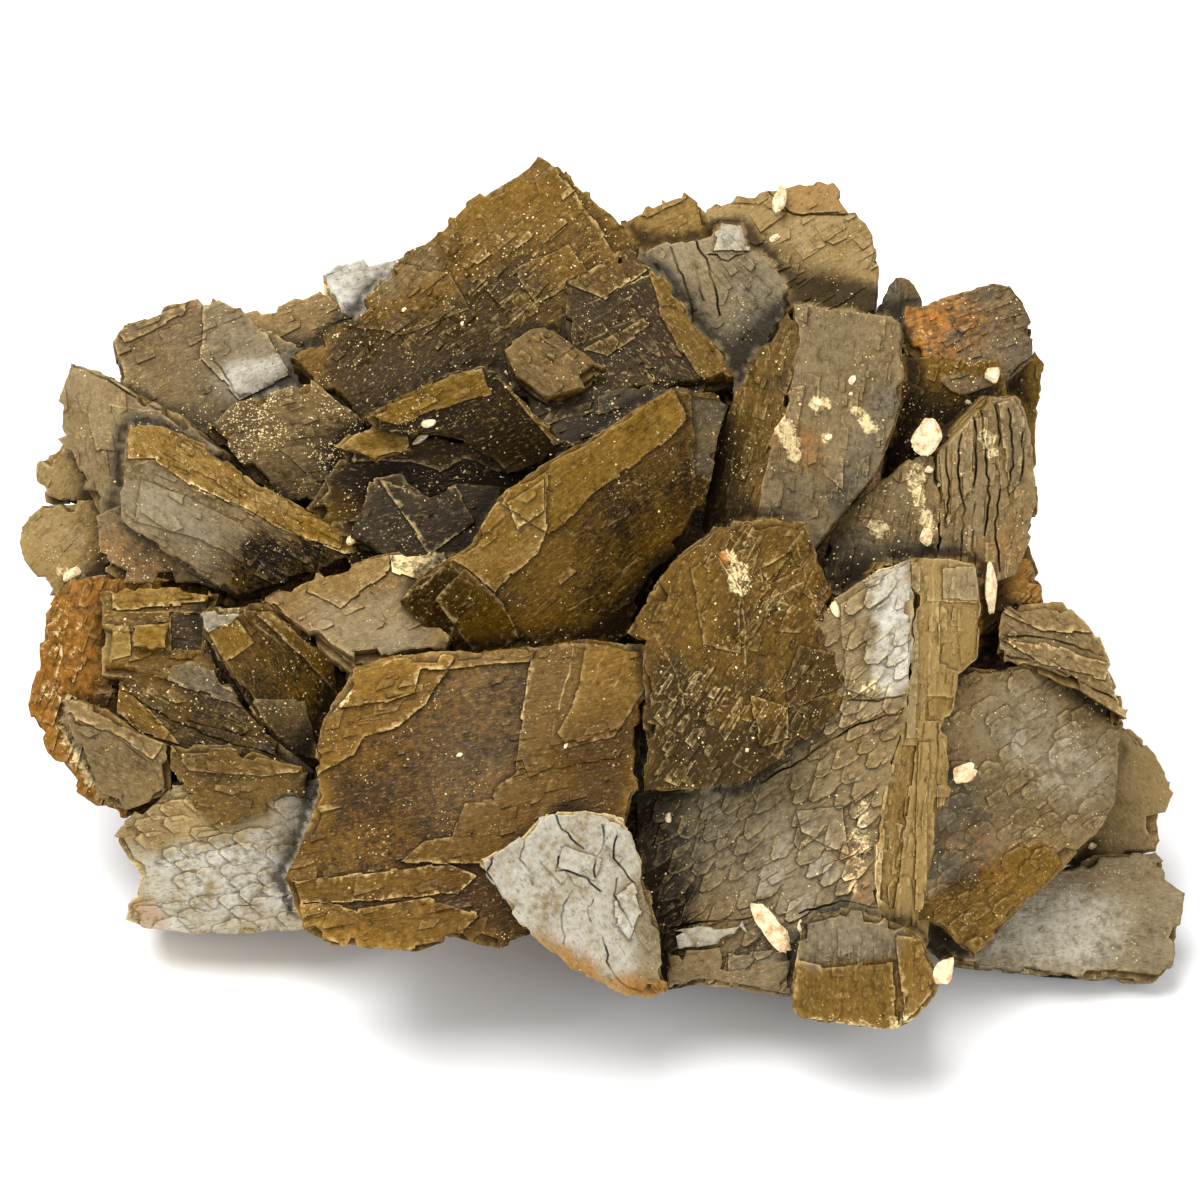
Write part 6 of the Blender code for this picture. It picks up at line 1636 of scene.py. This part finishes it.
chance = random.Random(42)
for number, (x, y, height) in enumerate(BACK_BLADES):
    outwards = Vector((x, y - 4.0, 24.0 * chance.uniform(0.1, 0.9))).normalized()
    across = outwards.cross(Vector((0.0, 0.0, 1.0))).normalized()
    across = (across + outwards * chance.uniform(-0.45, 0.45)).normalized()
    outwards = (outwards - across * outwards.dot(across)).normalized()
    upwards = across.cross(outwards).normalized()
    half_width, half_height = chance.uniform(8.5, 11.0), chance.uniform(7.0, 8.5)
    lean = chance.choice((-1.0, 1.0)) * chance.uniform(0.15, 0.4)
    corners = [(-1.0 - lean, -0.9), (0.1, -1.1), (1.0 - lean, -0.8), (1.0 + lean, 0.9),
               (0.0, 1.05), (-1.0 + lean, 0.8)]
    middle = Vector((x, y, height))
    low = min((middle + across * (a * half_width) + upwards * (b * half_height)
               - outwards * (d * BACK_BLADE_DEPTH)).z for a, b in corners for d in (0.0, 0.6))
    middle = middle + CENTRING + Vector((0.0, 0.0, max(0.0, FLOOR_CLEARANCE - low)))
    frame_axes = np.array((-across, upwards, outwards))
    outline = [(-a * half_width, b * half_height) for a, b in corners]
    plate(f"back_blade_{number}", Flat(np.array(middle), frame_axes),
          (0.0, 0.0, 0.0, 0.0, 0.0), (0.0, 0.0, -BACK_BLADE_THICKNESS), outline,
          dict(lattice=(chance.uniform(-50.0, 50.0), chance.uniform(60.0, 110.0), 3.2, 1.8),
               tone=0.20, amber=0.4, rust=0.15, sheen=chance.uniform(0.0, 0.4),
               flakes=0.22, chip=1.0, coarse=1.5))


# ---------------------------------------------------------------------------------------------
# Matrix. The lump of broken, rusty iron-stained vein stone that carries every crystal. It was
# sawn flat underneath, and only shows low down between the blades and at the back.
# ---------------------------------------------------------------------------------------------

CORE_OUTLINE = [(-46.0, 14.0), (-38.0, 24.0), (-22.0, 27.0), (-6.0, 33.0), (8.0, 31.0),
                (20.0, 28.0), (29.0, 22.0), (40.0, 19.0), (41.0, 4.0), (49.0, -12.0),
                (46.0, -22.0), (30.0, -25.0), (8.0, -28.0), (-14.0, -26.0), (-32.0, -24.0),
                (-45.0, -17.0), (-50.0, -4.0)]
CORE_FACE = (0.0, 0.0, -1.0, 0.0, -0.3)
CORE_MIDDLE = np.array((0.0, 4.0, 0.0)) + np.array(CENTRING)
# the lump narrows downwards: its breadth and its height at each ring, as shares of the top's
CORE_RINGS = ((0.97, 0.6), (0.90, 0.28), (0.80, 0.0))
CORE_SPACING = 1.0

chance = random.Random(44)
rim_places = np.array(CORE_OUTLINE)
core_rim = seen_at(rim_places[:, 0], rim_places[:, 1],
                   depth_on(CORE_FACE, rim_places[:, 0], rim_places[:, 1]))
core_rings = [core_rim]
for spread, level in CORE_RINGS:
    ring = []
    for point in core_rim:
        bulge = spread + chance.uniform(-0.03, 0.03)
        flat = CORE_MIDDLE + (np.array((point[0], point[1], 0.0)) - CORE_MIDDLE) * bulge
        ring.append((flat[0], flat[1], point[2] * level))
    core_rings.append(np.array(ring))

steps = max(2, int(round(float(np.linalg.norm(core_rim[0] - core_rim[1])) / CORE_SPACING)))
around = [np.array([start + (end - start) * (step / steps)
                    for start, end in zip(ring, np.roll(ring, -1, axis=0))
                    for step in range(steps)]) for ring in core_rings]
levels = []
for upper, lower in zip(around, around[1:]):
    rows = max(2, int(round(float(np.linalg.norm(upper - lower, axis=1).mean()) / CORE_SPACING)))
    levels += [upper + (lower - upper) * (row / rows) for row in range(rows)]
levels.append(around[-1])
columns = len(levels[0])
wall = np.vstack(levels)
lumps = (drift(wall[:, 0] + 40.0, wall[:, 2] * 1.3 + wall[:, 1], 3.0, 900)
         + 0.5 * drift(wall[:, 0], wall[:, 2] + wall[:, 1], 1.3, 901))
inwards = CORE_MIDDLE - wall
inwards[:, 2] = 0.0
inwards /= np.maximum(np.linalg.norm(inwards, axis=1), NEARLY_NOTHING)[:, None]
wall = wall + inwards * (0.55 + 0.45 * np.clip(lumps, -1.0, 1.0))[:, None]
numbered = np.arange(len(wall)).reshape(len(levels), columns).tolist()
core_faces = []
for upper, lower in zip(numbered, numbered[1:]):
    core_faces += wrapped_quads(upper, lower)
top_ring = [Vector((p[0], p[1], 0.0)) for p in wall[:columns]]
for triangle in tessellate_polygon([top_ring]):
    core_faces.append(tuple(triangle))
    core_faces.append(tuple(numbered[-1][index] for index in reversed(triangle)))

matrix_stone, tree = new_material("rusty_vein_stone")
crystal_place = add_node(tree, "ShaderNodeTexCoord").outputs["Object"]
lump_tone = grain_noise(3.0, 5.0, 0.65)
pore_tone = grain_noise(0.6, 3.0)
stone_shade = colour_ramp(lump_tone, (0.32, "#3a2716"), (0.68, "#9a6a3c"))
rusted = laid_over(stone_shade, "#c4a47a", between(pore_tone, 0.55, 0.72))
stone_bump = add_node(tree, "ShaderNodeBump",
                      [("Height", calculated('ADD', lump_tone, pore_tone))],
                      Strength=0.8, Distance=0.0006)
stone_shader = add_node(tree, "ShaderNodeBsdfPrincipled",
                        [("Base Color", rusted), ("Normal", stone_bump.outputs["Normal"])],
                        Roughness=0.75, IOR=1.55)
add_node(tree, "ShaderNodeOutputMaterial", [("Surface", stone_shader.outputs["BSDF"])])
matrix_mesh = new_mesh("broken_matrix", wall, core_faces, matrix_stone)
matrix_mesh.validate()
matrix = placed("broken_matrix", matrix_mesh)
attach(matrix, "root")
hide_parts("siderite_cluster")


# ---------------------------------------------------------------------------------------------
# Cream carbonate. Knobbly opaque grains of a paler carbonate that grew last and sit loose-looking
# on the siderite faces. The larger ones are parts of their own, the smaller ones are crumbs.
# ---------------------------------------------------------------------------------------------

cream_material, tree = new_material("cream_carbonate")
crystal_place = add_node(tree, "ShaderNodeTexCoord").outputs["Object"]
stain = grain_noise(0.8, 4.0)
pits = grain_noise(0.25, 2.0)
cream_shade = colour_ramp(stain, (0.30, "#b98a4c"), (0.56, "#f3ddb2"))
cream_bump = add_node(tree, "ShaderNodeBump", [("Height", calculated('ADD', stain, pits))],
                      Strength=0.7, Distance=0.00025)
cream_shader = add_node(tree, "ShaderNodeBsdfPrincipled",
                        [("Base Color", cream_shade), ("Normal", cream_bump.outputs["Normal"])],
                        Roughness=0.65, IOR=1.6, Subsurface_Weight=0.15, Subsurface_Scale=0.0005)
add_node(tree, "ShaderNodeOutputMaterial", [("Surface", cream_shader.outputs["BSDF"])])


LARGE_GRAIN = 1.7
BROKEN_SIDES = 7


def knobbly_grain(name, face, place, size, turn, lift, node=None):
    """Broken lump with knobs and a few flat sides, lying `lift` mm above a face plane."""
    seed = 500 + 7 * len(pieces)
    chance = random.Random(seed)
    rows, columns = (22, 34) if max(size) > LARGE_GRAIN else (12, 18)
    theta, phi = np.meshgrid(np.linspace(0.0, math.pi, rows),
                             np.linspace(0.0, 2.0 * math.pi, columns, endpoint=False),
                             indexing="ij")
    x, y = (np.sin(theta) * np.cos(phi)).ravel(), (np.sin(theta) * np.sin(phi)).ravel()
    z = np.cos(theta).ravel()
    knobs = (0.20 * drift(2.6 * x + 5.0 + z, 2.6 * y + z, 1.0, seed)
             + 0.10 * drift(6.0 * x + z, 6.0 * y - 2.0 * z, 1.0, seed + 1)
             + 0.05 * drift(14.0 * x, 14.0 * y + 5.0 * z, 1.0, seed + 2))
    lump = np.stack((x, y, z), axis=1) * (1.0 + knobs)[:, None]
    for side in range(BROKEN_SIDES):
        facing = np.array((chance.gauss(0.0, 1.0), chance.gauss(0.0, 1.0), chance.gauss(0.2, 0.6)))
        facing /= np.linalg.norm(facing)
        over = np.maximum(lump @ facing - chance.uniform(0.62, 0.85), 0.0)
        lump -= 0.85 * over[:, None] * facing
    along, across = 0.53 * size[0] * lump[:, 0], 0.53 * size[1] * lump[:, 1]
    u = place[0] + along * math.cos(turn) - across * math.sin(turn)
    v = place[1] + along * math.sin(turn) + across * math.cos(turn)
    thick = 0.5 * min(1.2, 0.8 * size[1])
    points = seen_at(u, v, depth_on(face, u, v) + lift + thick * (1.0 + lump[:, 2]))
    numbered = np.arange(rows * columns).reshape(rows, columns).tolist()
    faces = []
    for upper, lower in zip(numbered, numbered[1:]):
        faces += wrapped_quads(upper, lower)
    mesh = new_mesh(name, points, faces, cream_material)
    mesh.validate()
    grain = placed(name, mesh)
    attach(grain, "root")
    if node:
        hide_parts(node)
    pieces[name] = grain


# two grains that fill a gap between crystals lie on planes of their own
OPEN_FACE = (32.8, 16.2, 13.6, 0.0, 0.0)
EDGE_FACE = (38.9, 1.2, 10.4, -0.8, 0.0)
for label, face, place, size, turn, lift in (
        ("front", FRONT_SCALY_FACE, (16.9, -32.6), (5.8, 2.0), -50.0, 0.6),
        ("side", RIGHT_LARGE_FACE, (36.4, -17.2), (2.3, 2.0), 20.0, 0.5),
        ("heel", FOOT_FACE, (34.3, -37.2), (3.0, 2.0), 70.0, 0.6),
        ("cavity", OPEN_FACE, (32.8, 16.3), (3.5, 3.1), 60.0, 0.0),
        ("edge", EDGE_FACE, (39.1, 1.2), (5.0, 1.2), 92.0, 0.0),
        ("top", BACK_RIGHT_FACE, (18.1, 40.2), (2.8, 1.3), 75.0, 0.9),
        ("orange", BROWN_BLOCK_FACE, (39.3, 22.6), (1.8, 1.4), 60.0, 0.7),
        ("block", STRIATED_LEFT_FACE, (32.6, 6.3), (1.8, 1.3), 80.0, 0.6)):
    knobbly_grain(f"{label}_grain", face, place, size, math.radians(turn), lift,
                  f"cream_grain_{label}")

bpy.context.view_layer.update()
seen = bpy.context.evaluated_depsgraph_get()


def surface_depth(u, v):
    """Depth of the front-most surface that is seen at a place on the drawing plane."""
    eye = VIEW_CENTRE + OUT * EYE_DISTANCE
    towards = Vector(seen_at([u], [v], np.zeros(1))[0] - eye).normalized()
    place = bpy.context.scene.ray_cast(seen, Vector(eye) * MM, towards)[1]
    away = float((np.array(place) / MM - VIEW_CENTRE) @ OUT)
    return away / (1.0 - away / EYE_DISTANCE)


SUNK_SHARE = 0.25
# the crumbs: u, v, length, width and turn in degrees
CRUMBS = [(-24.8, 6.0, 1.2, 1.0, 20.0), (-17.2, 17.7, 1.7, 0.8, 15.0),
          (-17.9, 16.2, 1.8, 0.8, 40.0), (6.8, -21.8, 1.2, 0.7, 85.0),
          (23.6, -0.9, 1.6, 0.9, 110.0), (20.1, -32.8, 1.5, 0.8, 95.0),
          (49.2, -24.6, 0.9, 0.7, 30.0), (25.2, 22.0, 1.0, 0.7, 60.0),
          (25.1, 20.6, 0.5, 0.4, 0.0), (22.0, 19.7, 1.5, 0.7, -20.0),
          (22.8, 16.3, 0.9, 0.6, 10.0), (-52.8, 2.6, 2.0, 1.2, 30.0),
          (-14.0, -15.5, 0.6, 0.4, 20.0), (14.7, -15.0, 0.5, 0.4, 70.0),
          (32.9, 13.0, 0.9, 0.7, 15.0), (-3.4, -14.6, 0.7, 0.4, 60.0),
          (34.0, 11.6, 0.8, 0.5, 50.0), (-19.6, 29.0, 0.6, 0.4, 35.0),
          (-13.8, 27.6, 0.6, 0.4, 80.0), (17.4, 36.2, 1.3, 0.7, 25.0),
          (36.8, 19.8, 0.6, 0.5, 10.0)]
for number, (u, v, length, width, turn) in enumerate(CRUMBS):
    depth = surface_depth(u, v)
    knobbly_grain(f"cream_crumb_{number}", (u, v, depth, 0.0, 0.0), (u, v), (length, width),
                  math.radians(turn), -SUNK_SHARE * width)


# ---------------------------------------------------------------------------------------------
# Golden dust. Thousands of tiny grains of carbonate, 0.1 to 0.3 mm, have stuck to the crystals.
# They lie thickest on the lump at the upper left, in drifts. One mesh holds them all.
# ---------------------------------------------------------------------------------------------

# grains of dust on a square millimetre of each dusty crystal
DUST_ON = {"golden_lump": 6.5, "left_main_lower": 1.6, "back_notch_slab": 1.6, "peak": 0.8,
           "bridge_plate": 1.0, "mid_tablet": 0.6, "dark_plate_upper": 1.0, "left_main": 0.35,
           "dark_plate_lower": 0.35, "dark_slab": 0.9, "wedge": 0.6, "left_fin": 0.25,
           "rough_crystal": 0.35, "diagonal_blade": 0.25, "front_rhomb": 0.05,
           "front_scaly": 0.22, "striated_left": 0.7, "striated_right": 0.4, "pillar_front": 0.3,
           "pillar_side": 0.25, "brown_block": 0.5, "cavity_wall": 0.9, "peak_right": 0.35,
           "back_left_slab": 0.4, "left_lower_inner": 0.4, "right_plates": 0.25,
           "right_large": 0.18, "small_step": 0.4, "back_right_slab": 0.3, "left_block": 0.4}
# a grain has eight faces on six corners, which lie on both ends of three axes
GRAIN_FACES = ((0, 2, 4), (2, 1, 4), (1, 3, 4), (3, 0, 4),
               (2, 0, 5), (1, 2, 5), (3, 1, 5), (0, 3, 5))
SMALLEST_RADIUS = 0.05
FACING_EYE = 0.35
dust_material, tree = new_material("golden_dust")
crystal_place = add_node(tree, "ShaderNodeTexCoord").outputs["Object"]
dust_shade = colour_ramp(grain_noise(0.5, 2.0), (0.35, "#8a642a"), (0.60, "#efd9a0"))
dust_shader = add_node(tree, "ShaderNodeBsdfPrincipled", [("Base Color", dust_shade)],
                       Roughness=0.5, IOR=1.6)
add_node(tree, "ShaderNodeOutputMaterial", [("Surface", dust_shader.outputs["BSDF"])])


def mesh_points(mesh):
    """Positions of a mesh's points, in mm."""
    points = np.empty(3 * len(mesh.vertices))
    mesh.vertices.foreach_get("co", points)
    return points.reshape(-1, 3) / MM


sprinkle = np.random.default_rng(77)
dust_points, dust_faces = [], []
for name, density in DUST_ON.items():
    mesh = pieces[name].data
    mesh.calc_loop_triangles()
    places = mesh_points(mesh)
    corners = np.empty(3 * len(mesh.loop_triangles), np.int32)
    mesh.loop_triangles.foreach_get("vertices", corners)
    a, b, c = (places[corners.reshape(-1, 3)[:, index]] for index in range(3))
    upright = np.cross(b - a, c - a)
    twice_area = np.maximum(np.linalg.norm(upright, axis=1), 1e-12)
    upright /= twice_area[:, None]
    middle = (a + b + c) / 3.0
    waves = drift(middle[:, 0], middle[:, 2] + middle[:, 1], 3.0, 71)
    drifts = np.clip(0.5 + 1.6 * waves, 0.05, 1.6)
    in_sight = upright @ OUT > FACING_EYE
    weight = twice_area * in_sight * drifts
    count = int(density * 0.5 * float(twice_area[in_sight].sum()))
    chosen = sprinkle.choice(len(weight), count, p=weight / weight.sum())
    first, second = sprinkle.random(count), sprinkle.random(count)
    flip = first + second > 1.0
    first, second = np.where(flip, 1.0 - first, first), np.where(flip, 1.0 - second, second)
    centres = (a[chosen] + (b - a)[chosen] * first[:, None] + (c - a)[chosen] * second[:, None])
    for centre in centres:
        radius = SMALLEST_RADIUS * math.exp(sprinkle.uniform(0.0, 1.15))
        turn = Matrix.Rotation(sprinkle.uniform(0.0, 6.3), 3, Vector(sprinkle.normal(size=3)))
        reach = radius * sprinkle.uniform(0.6, 1.4, 6)
        base = len(dust_points)
        for index in range(6):
            axis = Vector((0.0, 0.0, 0.0))
            axis[index // 2] = reach[index] * (1.0 if index % 2 == 0 else -1.0)
            dust_points.append(tuple((Vector(centre) + turn @ axis) * MM))
        dust_faces += [tuple(base + corner for corner in face) for face in GRAIN_FACES]
dust_mesh = bpy.data.meshes.new("golden_dust")
dust_mesh.from_pydata(dust_points, [], dust_faces)
dust_mesh.materials.append(dust_material)
dust_mesh.update()
dust = placed("golden_dust", dust_mesh)
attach(dust, "root")
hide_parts("siderite_cluster")


# ---------------------------------------------------------------------------------------------
# Painted shade. Every surface is darkened the deeper it lies below the crystals around it, as
# shade painted into the hollows between the crystals.
# ---------------------------------------------------------------------------------------------

# the hollows are found on a map of the heights of all crystals over the drawing plane, in cells
SHADE_MAP_CELL = 0.5
HALF_CELLS = 140
EMPTY_DEPTH, DEEPEST = -30.0, -24.0
# how far a place lies below its surroundings: blurred over this size, unshaded down to the first
# depth and as darkly shaded as can be at the second one below that
HOLLOWS = ((1.1, 0.25, 2.2), (2.6, 0.6, 4.4), (7.0, 4.5, 16.0))
MOST_PAINTED_SHADE = 0.82
# what lies under other crystals is hidden, and gets little painted shade: from this depth, over
# this range
HIDDEN_BELOW, HIDDEN_RANGE, MOST_HIDDEN = 5.0, 4.0, 0.8


def plane_places(mesh):
    """Drawing-plane coordinates of a mesh's points, in mm, and their depth."""
    away = mesh_points(mesh) - VIEW_CENTRE
    depth = away @ OUT
    spread = 1.0 + depth / (EYE_DISTANCE - depth)
    return away @ RIGHT * spread, away @ UP * spread, depth * spread


def cells(u, v):
    """Indices into the map of heights."""
    return (np.clip(np.rint(u / SHADE_MAP_CELL) + HALF_CELLS, 0, 2 * HALF_CELLS - 1).astype(int),
            np.clip(np.rint(v / SHADE_MAP_CELL) + HALF_CELLS, 0, 2 * HALF_CELLS - 1).astype(int))


heights = np.full((2 * HALF_CELLS, 2 * HALF_CELLS), EMPTY_DEPTH)
for piece in pieces.values():
    u, v, depth = plane_places(piece.data)
    np.maximum.at(heights, cells(u, v), depth)
waves = np.fft.fftfreq(2 * HALF_CELLS, SHADE_MAP_CELL)
waves = waves[:, None] ** 2 + waves[None, :] ** 2


def blurred(size):
    """Map of heights with everything smaller than about `size` mm smoothed away."""
    softened = np.fft.fft2(heights) * np.exp(-2.0 * (math.pi * size) ** 2 * waves)
    return np.real(np.fft.ifft2(softened))


heights = np.maximum(heights, DEEPEST)
levels = [(blurred(size), unshaded, fully_shaded) for size, unshaded, fully_shaded in HOLLOWS]
for name, piece in pieces.items():
    layer = piece.data.color_attributes.get("tone_cream_shade")
    # the back blades face away from the drawing plane, so its map says nothing about them
    if layer is None or name.startswith("back_blade"):
        continue
    u, v, depth = plane_places(piece.data)
    place = cells(u, v)
    hollow_shade = np.max([(around[place] - depth - unshaded) / fully_shaded
                     for around, unshaded, fully_shaded in levels], axis=0)
    hidden = np.clip((heights[place] - depth - HIDDEN_BELOW) / HIDDEN_RANGE, 0.0, MOST_HIDDEN)
    hollow_shade = np.clip(hollow_shade, 0.0, MOST_PAINTED_SHADE) * (1.0 - hidden)
    values = np.empty(4 * len(piece.data.vertices), np.float32)
    layer.data.foreach_get("color", values)
    values = values.reshape(-1, 4)
    # the hollows get painted shade: more of the dark crack colour, and a lower tone
    values[:, 2] = np.maximum(values[:, 2], hollow_shade)
    values[:, 0] -= 0.5 * hollow_shade
    layer.data.foreach_set("color", np.clip(values, 0.0, 2.0).ravel())
